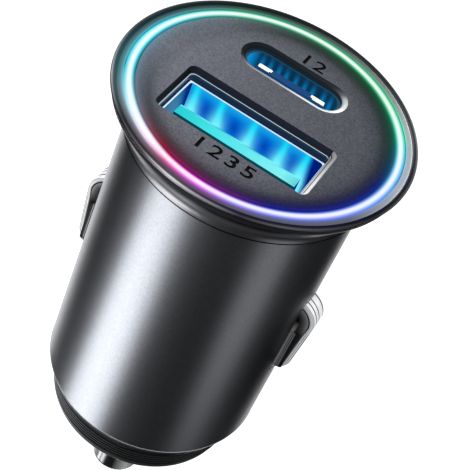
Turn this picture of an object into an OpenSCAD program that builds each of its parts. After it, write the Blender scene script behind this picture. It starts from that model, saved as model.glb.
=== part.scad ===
// Car USB charger plug: a metal barrel with a flared, lit head and two charging ports.
// Millimetres. +Z runs out of the port face, the tip points to -Z, +X runs along the ports.
// The origin is on the barrel's axis, at the seam where the head meets the barrel.

/* [Barrel] */
// Outer diameter of the straight barrel
barrel_d = 20.72; // [20.5:0.02:21]
// Wall thickness of the barrel
barrel_wall = 1; // [0.85:0.05:1.1]
// Length of the barrel below the head
barrel_len = 30.6; // [30:0.1:33]
// Chamfer at the barrel's lower edge
barrel_chamfer = 0.22; // [0.1:0.02:0.4]
// Height of the neck that the head is pressed on
neck_h = 1; // [0.8:0.05:1.2]
// Wall thickness of that neck
neck_wall = 0.6; // [0.45:0.05:0.65]
// How much slimmer the barrel is at its lower end than above the side contacts
barrel_draft = 0.06; // [0.04:0.02:0.12]

/* [Head] */
// How far the rim stands out of the barrel
rim_out = 2.4; // [2:0.05:3]
// Height of the face above the seam
face_h = 3.9; // [3.8:0.05:4.4]
// Height of the rim's bead above the face
bead_h = 0.13; // [0.05:0.01:0.25]
// Width of the rim's bead
bead_w = 0.55; // [0.4:0.05:0.6]
// Height of the rim's side
rim_side_h = 0.95; // [0.7:0.05:1.1]
// How far the rim's side leans in at its foot
rim_lean = 0.3; // [0.1:0.02:0.4]
// How far the head's foot stands out of the barrel at the seam
foot_out = 0.51; // [0.4:0.01:0.8]
// Height of the head's straight foot
foot_h = 0.3; // [0.2:0.05:0.5]
// Radius of the hollow curve that leads the foot into the flare
flare_r = 1.8; // [1.2:0.1:2.2]

/* [Light ring] */
// Distance of the lit ring from the rim's edge
ring_edge = 1.06; // [0.95:0.01:1.3]
// Width of the lit ring
ring_w = 0.9; // [0.8:0.05:1]
// Depth of the lit ring's outer part
ring_depth = 0.9; // [0.75:0.05:1]
// How far the ring's top is domed
ring_dome = 0.08; // [0.02:0.02:0.15]
// Number of lamps under the ring
lamp_count = 8; // [4:1:8]
// Thickness of the lamp board
lamp_board_t = 0.6; // [0.5:0.05:0.75]

/* [Face plate] */
// Thickness of the face plate
plate_t = 1.2; // [1.1:0.05:1.35]
// Thickness of the plate's thin edge over the ring's foot
plate_edge_t = 0.55; // [0.45:0.05:0.65]
// Place of both ports along the face
port_x = -0.15; // [-0.2:0.05:0]

/* [Wide port] */
// Clearance between the wide port's outer corners and the barrel's bore
port_a_play = 0.225; // [0.15:0.025:0.6]
// Width of the wide port's shell
port_a_w = 13.1; // [12.9:0.05:13.15]
// Height of the wide port's shell
port_a_h = 5.72; // [5.6:0.02:5.76]
// Sheet thickness of the wide port's shell
port_a_sheet = 0.3; // [0.25:0.05:0.35]
// Clearance between the wide port's shell and the carrier below it
port_a_end_gap = 0.15; // [0.1:0.05:1]
// Bevel round the wide port's cut-out
port_a_bevel = 0.35; // [0.2:0.05:0.4]
// Gap on each side of the wide port's tongue
tongue_a_side = 0.7; // [0.5:0.05:1]
// Thickness of the wide port's tongue
tongue_a_t = 1.84; // [1.7:0.02:2]

/* [Oval port] */
// Place of the oval port across the face
port_c_y = 5.15; // [5.1:0.05:5.3]
// Width of the oval port's shell
port_c_w = 8.94; // [8.8:0.02:9]
// Height of the oval port's shell
port_c_h = 3.16; // [3:0.02:3.2]
// Sheet thickness of the oval port's shell
port_c_sheet = 0.25; // [0.2:0.05:0.3]
// Length of the oval port's shell
port_c_len = 7.3; // [6.8:0.1:7.6]
// Width of the bevel round the oval port
port_c_bevel = 0.45; // [0.3:0.05:0.5]
// Gap on each side of the oval port's tongue
tongue_c_side = 0.875; // [0.7:0.025:1.1]
// Thickness of the oval port's tongue
tongue_c_t = 0.7; // [0.65:0.01:0.75]

/* [Circuit board] */
// Thickness of the circuit board
board_t = 1.2; // [1:0.1:1.3]
// Gap between the circuit board's long edges and the bore
board_side_gap = 0.73; // [0.5:0.01:1.2]
// Gap between the circuit board's lower end and the carrier's floor
board_end_gap = 0.4; // [0.2:0.1:2]

/* [Side contacts] */
// Distance of the side contacts' upper bend below the seam
contact_top = 11.45; // [11.4:0.05:11.7]
// Height of a side contact outside the barrel
contact_len = 9.15; // [8.8:0.05:9.3]
// Width of a side contact
contact_w = 2.6; // [2.4:0.05:2.8]
// How far a side contact stands out of the barrel
contact_out = 1.44; // [1.3:0.01:1.5]
// Sheet thickness of a side contact
contact_t = 0.35; // [0.3:0.05:0.4]
// Width of the slots in the barrel
slot_w = 3.5; // [3.3:0.1:4]

/* [Nose and tip] */
// Length of the nose below the barrel
nose_len = 9.1; // [8.9:0.1:10]
// How far the nose's collar stands back from the barrel's side
nose_in = 1.385; // [1.1:0.005:1.6]
// Number of grip ridges on the nose
ridge_count = 4; // [2:1:4]
// Diameter of the tip
tip_d = 5.1; // [4.8:0.05:5.5]
// How far the tip stands out of the nose
tip_out = 7.3; // [6:0.1:8]
// How far the tip can be pushed in
tip_travel = 2.4; // [1.5:0.1:2.6]
// Wire thickness of the tip's coil spring
spring_wire = 0.6; // [0.4:0.05:0.65]

/* [Hidden] */
$fn = 64;
LAMPS = [for (i = [1:lamp_count]) str("ring_lamp_", i)];
BLADES = [for (i = [1:4]) str("usb_a_contact_", i)];

// Play between two pieces that are pressed or laid together
seat_gap = 0.05;
// Overrun of a cutting shape past the surface it cuts
cut = 1;

// Radii of the barrel and of what the head is bored to
barrel_r = barrel_d / 2;
bore_r = barrel_r - barrel_wall;
neck_r = bore_r + neck_wall;
rim_r = barrel_r + rim_out;
foot_r = barrel_r + foot_out;
ring_out = rim_r - ring_edge;
ring_in = ring_out - ring_w;
leg_out = ring_in + 0.1;
leg_in = leg_out - 1;
lamp_board_r = neck_r + 0.3;

// Levels in the head, from the seam up
lamp_size = [1.6, 0.8, 0.65];
lamp_z = neck_h + lamp_board_t;
leg_z = lamp_z + lamp_size[2] + 0.1;
shelf_z = face_h - ring_depth;
plate_z = face_h - plate_t;
plate_edge_z = face_h - plate_edge_t;
lamp_r = lamp_board_r - lamp_size[1] / 2 - seat_gap;

// Flare of the head: a straight cone that runs into a hollow curve above the foot
flare_top_r = rim_r - rim_lean;
flare_top_z = face_h + bead_h - rim_side_h;
flare_rise = flare_top_z - foot_h;
flare_run = flare_top_r - foot_r;
flare_reach = sqrt(pow(flare_rise, 2) + pow(flare_r - flare_run, 2));
flare_angle = asin(flare_r / flare_reach) - atan2(flare_r - flare_run, flare_rise);

// Pegs that set the face plate on the lamp board
peg_circle = neck_r - 1.75;
peg_places = [for (a = [-90, 30, 150]) peg_circle * [cos(a), sin(a)]];
peg_r = 0.8;
peg_pin_r = 0.45;

// Side contact: it stands out of the slot at rest and can sink flush
contact_sink = contact_out - 0.04;
contact_zt = -contact_top;
contact_zb = -contact_top - contact_len;
contact_x = barrel_r + contact_out;
contact_lean = 0.35;
contact_bend_top = 2.3;
contact_bend_low = 2;
contact_tab = 0.95;
contact_tab_x = bore_r - 0.16;
slot_top = contact_zt + 0.35;
slot_low = contact_zb - 0.1;
slot_corner = 0.5;
guide_len = -slot_top - 0.2;
barrel_low_r = barrel_r - barrel_draft / 2;

// Pocket of the inner carrier that a side contact moves in
pocket_play = 0.15;
pocket_wall = 0.4;
pocket_floor = contact_tab_x - contact_t - contact_sink - pocket_play;
pocket_back = pocket_floor - pocket_wall;
pocket_half_w = contact_w / 2 + pocket_play;
pocket_top = contact_zt + contact_tab + pocket_play;
pocket_low = contact_zb - contact_tab - pocket_play;
carrier_top = pocket_top + pocket_wall;
coil_wire = 0.25;
coil_r = contact_w / 2 - contact_t - 0.1 - coil_wire / 2;
coil_z = (contact_zt + contact_zb) / 2;
coil_end = contact_x - contact_lean / 2 - contact_t;
coil_peg_r = coil_r - coil_wire / 2 - 0.1;

// Wide port: mouth, rear, tongue and its four contacts
port_a_mouth = plate_z;
port_a_rear = carrier_top + port_a_end_gap;
port_a_reach = sqrt(pow(bore_r - port_a_play, 2) - pow(port_a_w / 2 - port_x, 2));
port_a_y = port_a_h / 2 - port_a_reach;
port_a_step = 0.06;
port_a_in_w = port_a_w - 2 * port_a_sheet;
port_a_in_h = port_a_h - 2 * port_a_sheet;
finger_x = 3.2;
finger_w = 1.8;
finger_len = 4.6;
window_gap = 0.4;
window_z = port_a_mouth - 2.7;
tongue_a_w = port_a_in_w - 2 * tongue_a_side;
port_a_block = 2.6;
tongue_a_front = port_a_mouth - 0.15;
tongue_a_off = -(port_a_h / 2 - port_a_sheet) + 0.5;
tongue_a_bevel = 0.7;
blade_x = [-3.5, -1, 1, 3.5];
blade_w = 1;
blade_t = 0.3;
blade_proud = 0.1;
blade_face_y = port_a_y + tongue_a_off + tongue_a_t;
tail_w = 0.6;
tail_h = 0.5;
tail_z = port_a_rear - 0.95;
tail_out = 0.4;

// Circuit board between the ports
board_y0 = port_a_y + port_a_h / 2 + 0.04;
board_y1 = board_y0 + board_t;
board_top = neck_h - seat_gap;
board_half = sqrt(pow(bore_r, 2) - pow(max(abs(board_y0), abs(board_y1)), 2)) - board_side_gap;
board_low_half = pocket_back - pocket_play;
board_hole_r = 0.45;

// Header whose pins join the circuit board to the lamp board
header_x = 5.3;
header_size = [2.6, 1.3, 2.3];
header_pitch = 0.9;
header_pin_r = 0.2;
header_pin_low = 1.1;
header_pin_up = 0.4;
header_y = board_y1 + header_size[1] / 2;
header_pins = [for (i = [-1:1]) header_x + header_size[0] / 2 + i * header_pitch];

// Oval port: mouth, rear, tongue and contact rows
port_c_mouth = face_h - 0.5;
port_c_rear = port_c_mouth - port_c_len;
port_c_block = 3.2;
port_c_in_w = port_c_w - 2 * port_c_sheet;
port_c_in_h = port_c_h - 2 * port_c_sheet;
tongue_c_w = port_c_in_w - 2 * tongue_c_side;
tongue_c_front = port_c_mouth - 0.35;
row_count = 12;
row_pitch = 0.5;
row_w = 0.26;
row_t = 0.15;
row_proud = 0.07;
midplate_t = 0.15;
row_tail = 0.95;
lug_size = [1.25, 0.42, 0.4];
leg_z_c = port_c_rear + 1.2;
leg_w_c = 1;
leg_z_a = port_a_mouth - 8;
leg_w_a = 1.5;

// Parts on the circuit board: width along X, length along Z and height off the board
part_gap = 0.5;
leg_out_chip = 1;
converter_size = [3, 2.9, 1.1];
port_chip_size = [2, 2.9, 1.1];
chips_top = port_c_rear - row_tail - part_gap;
inductor_size = [4.7, 4.7, 3.2];
can_foot = 0.3;
can_play = 0.5;
input_can_d = 5;
input_can_x = (input_can_d + can_foot + part_gap) / 2;
output_can_d = 6.3;
output_can_h = 5.6;
fuse_size = [4.6, 2.4, 2.3];
parts_top = tail_z - part_gap;
terminal_tab_w = 2.4;
terminal_tab_t = 0.4;
terminal_tab_lap = 1.6;
fuse_x = -(terminal_tab_w + fuse_size[0]) / 2 - part_gap;
fuse_z = parts_top - input_can_d - can_foot - part_gap - fuse_size[1] / 2;

// Strap on the board's edge that bears on the bore
strap_z = -6.5;
strap_w = 2.4;
strap_t = 0.25;
strap_rise = 1.6;

// Nose: a plug in the barrel, a collar with ridges, a cone and the tip's guide
plug_h = 3.6;
plug_top = -barrel_len + plug_h;
nose_end = -barrel_len - nose_len;
nose_r = barrel_r - nose_in;
nose_top_r = barrel_r - 0.34;
nose_band_h = 1.45;
ridge_pitch = 0.45;
ridge_depth = 0.2;
ridge_low = -barrel_len - nose_band_h - 0.2 - ridge_count * ridge_pitch;
collar_low = -barrel_len - 4.9;
collar_round = 0.55;
tip_r = tip_d / 2;
cone_end_r = tip_r + 2.45;
tip_end = nose_end - tip_out;
tip_flange_r = tip_r + 1.55;
tip_bore_r = tip_flange_r + 0.3;
tip_seat = nose_end + 3.1;
tip_flange_h = 1;
tip_round = 0.9;
tip_wall = 0.9;

// Inner carrier, the board's lower end and the room for the input capacitor
carrier_r = bore_r - seat_gap;
carrier_wall = 0.55;
carrier_in_r = carrier_r - carrier_wall;
input_can_h = sqrt(pow(carrier_in_r, 2) - pow(input_can_x + input_can_d / 2, 2)) - board_y1 - can_play;
carrier_floor = 1.1;
board_end = plug_top + carrier_floor + board_end_gap;

// Positive terminal: its post stops the tip at the end of its travel, inside the coil
terminal_t = 0.6;
spring_r = tip_flange_r - spring_wire / 2 - 0.35;
spring_top = plug_top - terminal_t;
spring_low = tip_seat + tip_flange_h;
post_low = spring_low + tip_travel + seat_gap;
post_r = spring_r - spring_wire / 2 - 0.25;

// Points of an arc in a profile, from angle a0 to angle a1
function arc(cx, cy, r, a0, a1, steps = 8) =
    [for (i = [0:steps]) let (a = a0 + (a1 - a0) * i / steps) [cx + r * cos(a), cy + r * sin(a)]];

function reversed(points) = [for (i = [len(points) - 1:-1:0]) points[i]];

module rounded_rect(w, h, r) {
    square([w - 2 * r, h], center = true);
    square([w, h - 2 * r], center = true);
    for (sx = [-1, 1], sy = [-1, 1])
        translate([sx * (w / 2 - r), sy * (h / 2 - r)]) circle(r);
}

module racetrack(w, h) {
    square([w - h, h], center = true);
    for (s = [-1, 1])
        translate([s * (w - h) / 2, 0]) circle(h / 2);
}

module slab(z0, z1) {
    translate([0, 0, z0]) linear_extrude(z1 - z0) children();
}

module at_port_a() {
    translate([port_x, port_a_y, 0]) children();
}

module at_port_c() {
    translate([port_x, port_c_y, 0]) children();
}

// Extrudes a profile drawn across (Y) and up (Z) along the ports
module along_x(w) {
    translate([-w / 2, 0, 0]) rotate([90, 0, 90]) linear_extrude(w) children();
}

// Extrudes a profile drawn along (X) and up (Z) between two places across the face
module across_y(y0, y1) {
    translate([0, y1, 0]) rotate([90, 0, 0]) linear_extrude(y1 - y0) children();
}

// A round wire wound about Z between two levels, with flat end turns
module coil(r, wire, z0, z1, turns, sides = 8, steps = 16) {
    flat = 0.6;
    rings = turns * steps;
    rise = z1 - z0 - wire;
    points = [
        for (i = [0:rings])
        let (
            turn = i / steps,
            climb = min(max((turn - flat) / (turns - 2 * flat), 0), 1),
            z = z0 + wire / 2 + rise * climb
        )
        for (k = [0:sides - 1])
        let (b = 360 * k / sides, d = r + wire / 2 * cos(b))
        [d * cos(360 * turn), d * sin(360 * turn), z + wire / 2 * sin(b)]
    ];
    walls = [
        for (i = [0:rings - 1], k = [0:sides - 1])
        [i * sides + k, i * sides + (k + 1) % sides,
         (i + 1) * sides + (k + 1) % sides, (i + 1) * sides + k]
    ];
    first = [for (k = [sides - 1:-1:0]) k];
    last = [for (k = [0:sides - 1]) rings * sides + k];
    polyhedron(points, concat(walls, [first, last]), convexity = 10);
}

module head_collar() {
    lamp_bore = lamp_board_r + seat_gap;
    color("dimgray")
    rotate_extrude()
    polygon(concat(
        [[neck_r + seat_gap, 0], [foot_r, 0]],
        arc(foot_r + flare_r, foot_h, flare_r, 180, 180 - flare_angle),
        [[flare_top_r, flare_top_z],
         [rim_r - 0.06, face_h - 0.12],
         [rim_r, face_h + bead_h - 0.12],
         [rim_r - 0.12, face_h + bead_h],
         [rim_r - bead_w + 0.06, face_h + bead_h],
         [rim_r - bead_w, face_h],
         [ring_out + seat_gap, face_h],
         [ring_out + seat_gap, shelf_z],
         [leg_out + 0.1, shelf_z],
         [leg_out + 0.1, leg_z - seat_gap],
         [lamp_bore, leg_z - seat_gap],
         [lamp_bore, neck_h],
         [neck_r + seat_gap, neck_h]]
    ));
}

module slot_shape() {
    translate([0, (slot_top + slot_low) / 2])
        rounded_rect(slot_w, slot_top - slot_low, slot_corner);
}

module barrel() {
    color("slategray")
    difference() {
        rotate_extrude()
        polygon([
            [bore_r, -barrel_len],
            [barrel_low_r - barrel_chamfer, -barrel_len],
            [barrel_low_r, -barrel_len + barrel_chamfer],
            [barrel_r, -guide_len],
            [barrel_r, 0],
            [neck_r, 0],
            [neck_r, neck_h],
            [bore_r, neck_h]
        ]);
        rotate([0, 0, 90])
            across_y(-barrel_r - cut, barrel_r + cut) slot_shape();
    }
}

module port_a_cutout() {
    w = port_a_w - 2 * seat_gap;
    h = port_a_h - 2 * seat_gap;
    at_port_a() {
        slab(plate_z - cut, face_h + cut) rounded_rect(w, h, 0.6);
        slab(plate_edge_z, face_h + cut)
            rounded_rect(w + 2 * port_a_step, h + 2 * port_a_step, 0.6);
        hull() {
            slab(face_h - port_a_bevel + port_a_step, face_h)
                rounded_rect(w + 2 * port_a_step, h + 2 * port_a_step, 0.6, $fn = 32);
            slab(face_h, face_h + 0.01)
                rounded_rect(w + 2 * port_a_bevel, h + 2 * port_a_bevel, 0.8, $fn = 32);
        }
    }
}

module port_c_cutout() {
    w = port_c_w + 0.08;
    h = port_c_h - 0.24;
    depth = port_c_bevel / 2;
    at_port_c() {
        slab(plate_z - cut, face_h + cut) racetrack(w, h);
        slab(plate_z - cut, port_c_mouth)
            racetrack(port_c_w + 2 * seat_gap, port_c_h + 2 * seat_gap);
        hull() {
            slab(face_h - depth, face_h) racetrack(w, h, $fn = 32);
            slab(face_h, face_h + 0.01)
                racetrack(w + 2 * port_c_bevel, h + 2 * port_c_bevel, $fn = 32);
        }
    }
}

module face_plate() {
    color("darkslategray")
    difference() {
        union() {
            rotate_extrude()
            polygon([
                [0, plate_z],
                [leg_in - seat_gap, plate_z],
                [leg_in - seat_gap, plate_edge_z],
                [ring_in - seat_gap, plate_edge_z],
                [ring_in - seat_gap, face_h],
                [0, face_h]
            ]);
            for (p = peg_places)
                translate([p[0], p[1], 0]) {
                    slab(lamp_z, plate_z + 0.2) circle(peg_r);
                    slab(neck_h + 0.1, lamp_z) circle(peg_pin_r);
                }
        }
        port_a_cutout();
        port_c_cutout();
    }
}

module light_ring() {
    shoulder = face_h - 0.1;
    color("lightcyan")
    rotate_extrude()
    polygon([
        [leg_in, leg_z],
        [leg_out, leg_z],
        [leg_out, shelf_z],
        [ring_out, shelf_z],
        [ring_out, shoulder],
        [ring_out - ring_w / 4, face_h - 0.1 + ring_dome],
        [ring_in + ring_w / 4, face_h - 0.1 + ring_dome],
        [ring_in, shoulder],
        [ring_in, plate_edge_z],
        [leg_in, plate_edge_z]
    ]);
}

module lamp_board() {
    color("darkgreen")
    slab(neck_h, lamp_z)
    difference() {
        circle(lamp_board_r);
        translate([port_x, port_a_y])
            rounded_rect(port_a_w + 2 * seat_gap, port_a_h + 2 * seat_gap, 0.4);
        translate([port_x, port_c_y])
            racetrack(port_c_w + 2 * seat_gap, port_c_h + 2 * seat_gap);
        for (p = peg_places)
            translate(p) circle(peg_pin_r + seat_gap);
        for (x = header_pins)
            translate([x, header_y]) circle(header_pin_r + seat_gap);
    }
}

module ring_lamp(i) {
    color("white")
    rotate([0, 0, 90 + (i - 0.5) * 360 / lamp_count])
    translate([0, -lamp_r, lamp_z])
    difference() {
        slab(0, lamp_size[2]) square([lamp_size[0], lamp_size[1]], center = true);
        slab(lamp_size[2] - 0.15, lamp_size[2] + cut) circle(0.3);
    }
}

module usb_a_shell() {
    color("silver") {
        at_port_a()
        difference() {
            slab(port_a_rear, port_a_mouth) rounded_rect(port_a_w, port_a_h, 0.5);
            slab(port_a_rear - cut, port_a_mouth + cut)
                rounded_rect(port_a_in_w, port_a_in_h, 0.3);
            for (s = [-1, 1])
                translate([s * finger_x, 0, window_z])
                    across_y(-port_a_h, 0) spring_window();
        }
        for (s = [-1, 1])
            translate([port_x + s * finger_x, port_a_y - port_a_h / 2, window_z])
                across_y(0, port_a_sheet) spring_finger();
        for (s = [-1, 1])
            translate([port_x + s * (port_a_w - port_a_sheet) / 2, 0, leg_z_a])
                across_y(port_a_y, board_y1 - 0.1)
                    square([port_a_sheet, leg_w_a], center = true);
    }
}

// Window in the shell, down from its upper edge
module spring_window() {
    w = finger_w + 2 * window_gap;
    h = finger_len + window_gap;
    translate([-w / 2, -h]) square([w, h]);
}

// Finger that holds the inserted plug: it stands on the window's lower edge
module spring_finger() {
    translate([-finger_w / 2, -finger_len - window_gap - 0.1])
        square([finger_w, finger_len + 0.1]);
}

module usb_a_insulator() {
    color("deepskyblue")
    difference() {
        at_port_a() {
            slab(port_a_rear, port_a_rear + port_a_block)
                rounded_rect(port_a_in_w - seat_gap, port_a_in_h - seat_gap, 0.3);
            along_x(tongue_a_w)
            polygon([
                [tongue_a_off, port_a_rear + 0.5],
                [tongue_a_off, tongue_a_front - tongue_a_bevel],
                [tongue_a_off + tongue_a_bevel, tongue_a_front],
                [tongue_a_off + tongue_a_t, tongue_a_front],
                [tongue_a_off + tongue_a_t, port_a_rear + 0.5]
            ]);
        }
        for (i = [1:4]) usb_a_contact(i);
    }
}

module usb_a_contact(i) {
    x = port_x + blade_x[i - 1];
    back = blade_face_y + blade_proud - blade_t;
    front = tongue_a_front - 0.8;
    color("gold") {
        translate([x - blade_w / 2, back, tail_z])
            cube([blade_w, blade_t, front - tail_z]);
        translate([x - tail_w / 2, back, tail_z])
            cube([tail_w, board_y1 + tail_out - back, tail_h]);
    }
}

module usb_c_shell() {
    color("silver") {
        at_port_c()
        slab(port_c_rear, port_c_mouth)
        difference() {
            racetrack(port_c_w, port_c_h);
            racetrack(port_c_in_w, port_c_in_h);
        }
        for (s = [-1, 1])
            translate([port_x + s * (port_c_w - port_c_sheet) / 2, 0, leg_z_c])
                across_y(board_y0 + 0.1, port_c_y)
                    square([port_c_sheet, leg_w_c], center = true);
    }
}

module usb_c_insulator() {
    color("midnightblue")
    difference() {
        at_port_c() {
            slab(port_c_rear, port_c_rear + port_c_block)
                racetrack(port_c_in_w - seat_gap, port_c_in_h - seat_gap);
            slab(port_c_rear + 0.5, tongue_c_front)
                square([tongue_c_w, tongue_c_t], center = true);
        }
        usb_c_midplate();
        usb_c_row(1);
        usb_c_row(-1);
    }
}

module usb_c_midplate() {
    top = tongue_c_front - lug_size[2];
    color("whitesmoke")
    at_port_c() {
        slab(port_c_rear + 0.3, top) square([tongue_c_w, midplate_t], center = true);
        for (s = [-1, 1])
            translate([s * (tongue_c_w - lug_size[0]) / 2, 0, 0])
                slab(top, tongue_c_front) square([lug_size[0], lug_size[1]], center = true);
    }
}

// One row of contacts: side 1 faces away from the wide port, side -1 faces it
module usb_c_row(side) {
    face = port_c_y + side * tongue_c_t / 2;
    outer = face + side * row_proud;
    inner = outer - side * row_t;
    low = port_c_rear - (side > 0 ? row_tail : row_tail - 0.5);
    color("gold")
    for (i = [0:row_count - 1])
        translate([port_x + (i - (row_count - 1) / 2) * row_pitch, 0, 0]) {
            across_y(min(inner, outer), max(inner, outer))
                translate([-row_w / 2, low]) square([row_w, tongue_c_front - 0.6 - low]);
            across_y(board_y1, max(inner, outer))
                translate([-row_w / 2, low]) square([row_w, 0.25]);
        }
}

module usb_c_upper_contacts() {
    usb_c_row(1);
}

module usb_c_lower_contacts() {
    usb_c_row(-1);
}

module usb_c_riser() {
    color("black")
    translate([port_x, 0, 0])
    across_y(board_y1, port_c_y - port_c_h / 2)
        translate([0, (port_c_rear + board_top) / 2])
            square([port_c_w - port_c_h, board_top - port_c_rear - 0.3], center = true);
}

module main_board() {
    color("darkgreen")
    across_y(board_y0, board_y1)
    difference() {
        union() {
            translate([-board_half, carrier_top])
                square([2 * board_half, board_top - carrier_top]);
            translate([-board_low_half, board_end])
                square([2 * board_low_half, carrier_top + cut - board_end]);
        }
        for (x = blade_x)
            translate([port_x + x, tail_z + tail_h / 2]) circle(board_hole_r);
        for (s = [-1, 1]) {
            translate([port_x + s * (port_a_w - port_a_sheet) / 2, leg_z_a])
                square([port_a_sheet + 2 * seat_gap, leg_w_a + 2 * seat_gap], center = true);
            translate([port_x + s * (port_c_w - port_c_sheet) / 2, leg_z_c])
                square([port_c_sheet + 2 * seat_gap, leg_w_c + 2 * seat_gap], center = true);
        }
    }
}

module lamp_header() {
    color("black")
    across_y(board_y1, board_y1 + header_size[1])
        translate([header_x, board_top - header_size[2]]) square([header_size[0], header_size[2]]);
    color("gold")
    for (x = header_pins)
        translate([x, header_y, 0])
            slab(board_top - header_size[2] - header_pin_low, lamp_z + header_pin_up)
                circle(header_pin_r);
}

// Stands a part on the board's upper face (side 1) or lower face (side -1)
module on_board(x, z, side = 1) {
    translate([x, side > 0 ? board_y1 : board_y0, z]) rotate([-side * 90, 0, 0]) children();
}

module power_inductor() {
    groove = [inductor_size[0] / 2 - 0.65, inductor_size[0] / 2 - 0.3];
    color("dimgray")
    on_board(-(inductor_size[0] + part_gap) / 2, parts_top - inductor_size[1] / 2)
    difference() {
        slab(0, inductor_size[2]) rounded_rect(inductor_size[0], inductor_size[1], 0.9);
        slab(inductor_size[2] - 0.5, inductor_size[2] + cut)
        difference() {
            circle(groove[1]);
            circle(groove[0]);
        }
    }
}

// An upright can on its square foot
module can_capacitor(d, h) {
    foot = 0.7;
    bead_z = foot + 0.75;
    bead_in = 0.25;
    linear_extrude(foot) rounded_rect(d + can_foot, d + can_foot, 0.9);
    rotate_extrude()
    polygon([
        [0, foot - 0.1],
        [d / 2, foot - 0.1],
        [d / 2, bead_z - bead_in],
        [d / 2 - bead_in, bead_z],
        [d / 2, bead_z + bead_in],
        [d / 2, h - bead_in],
        [d / 2 - bead_in, h],
        [0, h]
    ]);
}

module input_capacitor() {
    color("silver")
    on_board(input_can_x, parts_top - (input_can_d + can_foot) / 2)
        can_capacitor(input_can_d, input_can_h);
}

module output_capacitor() {
    color("silver")
    on_board(0, parts_top - (output_can_d + can_foot) / 2, -1)
        can_capacitor(output_can_d, output_can_h);
}

// One bent leg of a chip, from the body's side at height h out to its foot
module chip_leg(h) {
    leg_w = 0.4;
    leg_t = 0.2;
    knee = 0.35;
    translate([-leg_t, -leg_w / 2, h]) cube([knee + 2 * leg_t, leg_w, leg_t]);
    translate([knee, -leg_w / 2, 0]) cube([leg_t, leg_w, h + leg_t]);
    translate([knee, -leg_w / 2, 0]) cube([leg_out_chip - knee, leg_w, leg_t]);
}

// A moulded chip with a row of legs on two sides
module chip(size, legs, pitch) {
    lift = 0.1;
    color("black")
        translate([-size[0] / 2, -size[1] / 2, lift]) cube([size[0], size[1], size[2] - lift]);
    color("silver")
    for (a = [0, 180], i = [0:legs - 1])
        rotate([0, 0, a])
            translate([size[0] / 2, (i - (legs - 1) / 2) * pitch, 0]) chip_leg(size[2] / 2 - 0.1);
}

module converter_chip() {
    on_board(converter_size[0] / 2 + leg_out_chip + part_gap / 2, chips_top - converter_size[1] / 2)
        chip(converter_size, 3, 0.95);
}

module port_chip() {
    on_board(-port_chip_size[0] / 2 - leg_out_chip - part_gap / 2, chips_top - port_chip_size[1] / 2)
        chip(port_chip_size, 3, 0.95);
}

module fuse() {
    lift = 0.1;
    cap_w = 1;
    color("ivory")
    on_board(fuse_x, fuse_z) {
        slab(lift, fuse_size[2] - lift)
            square([fuse_size[0] - lift, fuse_size[1] - 2 * lift], center = true);
        for (s = [-1, 1])
            translate([s * (fuse_size[0] - cap_w) / 2, 0, 0])
                slab(0, fuse_size[2]) square([cap_w, fuse_size[1]], center = true);
    }
}

// Leaf on the board's edge that bears on the inside of the barrel
module ground_strap() {
    pad_w = 1.3;
    bend_x = board_half - 0.3;
    reach = sqrt(pow(bore_r - seat_gap, 2) - pow(board_y1 + strap_rise, 2));
    color("goldenrod")
    translate([0, 0, strap_z])
    linear_extrude(strap_w)
    polygon([
        [bend_x - pad_w, board_y1],
        [bend_x, board_y1],
        [reach, board_y1 + strap_rise],
        [reach - strap_t, board_y1 + strap_rise + strap_t / 2],
        [bend_x - strap_t, board_y1 + strap_t],
        [bend_x - pad_w, board_y1 + strap_t]
    ]);
}

module side_pocket_walls() {
    translate([pocket_back, -pocket_half_w - pocket_wall, pocket_low - pocket_wall])
        cube([carrier_r, 2 * (pocket_half_w + pocket_wall),
              pocket_top - pocket_low + 2 * pocket_wall]);
}

module side_pocket_space() {
    translate([pocket_floor, -pocket_half_w, pocket_low])
        cube([carrier_r + cut, 2 * pocket_half_w, pocket_top - pocket_low]);
}

module coil_peg() {
    translate([pocket_floor - pocket_wall / 2, 0, coil_z])
        rotate([0, 90, 0]) cylinder(r = coil_peg_r, h = pocket_wall / 2 + 0.6);
}

module inner_carrier() {
    color("ivory") {
        difference() {
            union() {
                slab(plug_top, carrier_top)
                difference() {
                    circle(carrier_r);
                    circle(carrier_in_r);
                }
                slab(plug_top, plug_top + carrier_floor) circle(carrier_in_r + seat_gap);
                intersection() {
                    for (a = [0, 180])
                        rotate([0, 0, a]) side_pocket_walls();
                    slab(plug_top, pocket_top + cut) circle(carrier_r);
                }
            }
            for (a = [0, 180])
                rotate([0, 0, a]) side_pocket_space();
            across_y(board_y1 - 0.1, board_y1 + terminal_tab_t + 0.1)
                translate([-terminal_tab_w / 2 - 0.1, plug_top - cut])
                    square([terminal_tab_w + 0.2, carrier_floor + 2 * cut]);
        }
        for (a = [0, 180])
            rotate([0, 0, a]) coil_peg();
    }
}

// Outline of the bent strip at a depth below its outer face, from the upper bend down
function contact_line(depth) = concat(
    arc(contact_x - contact_bend_top, contact_zt - contact_bend_top,
        contact_bend_top - depth, 90, 0),
    arc(contact_x - contact_lean - contact_bend_low, contact_zb + contact_bend_low,
        contact_bend_low - depth, 0, -90)
);

function tabbed_line(depth) = concat(
    [[contact_tab_x - depth, contact_zt + contact_tab], [contact_tab_x - depth, contact_zt - depth]],
    contact_line(depth),
    [[contact_tab_x - depth, contact_zb + depth], [contact_tab_x - depth, contact_zb - contact_tab]]
);

module side_contact() {
    flange_x = contact_tab_x + seat_gap;
    half = contact_w / 2;
    color("silver") {
        across_y(-half, half)
            polygon(concat(tabbed_line(0), reversed(tabbed_line(contact_t))));
        for (y = [-half, half - contact_t])
            across_y(y, y + contact_t)
                polygon(concat([[flange_x, contact_zt]], contact_line(0), [[flange_x, contact_zb]]));
    }
}

module contact_right() {
    side_contact();
}

module contact_left() {
    rotate([0, 0, 180]) side_contact();
}

module contact_coil() {
    color("gainsboro")
    translate([0, 0, coil_z]) rotate([0, 90, 0])
        coil(coil_r, coil_wire, pocket_floor, coil_end, 5, 6, 12);
}

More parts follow.
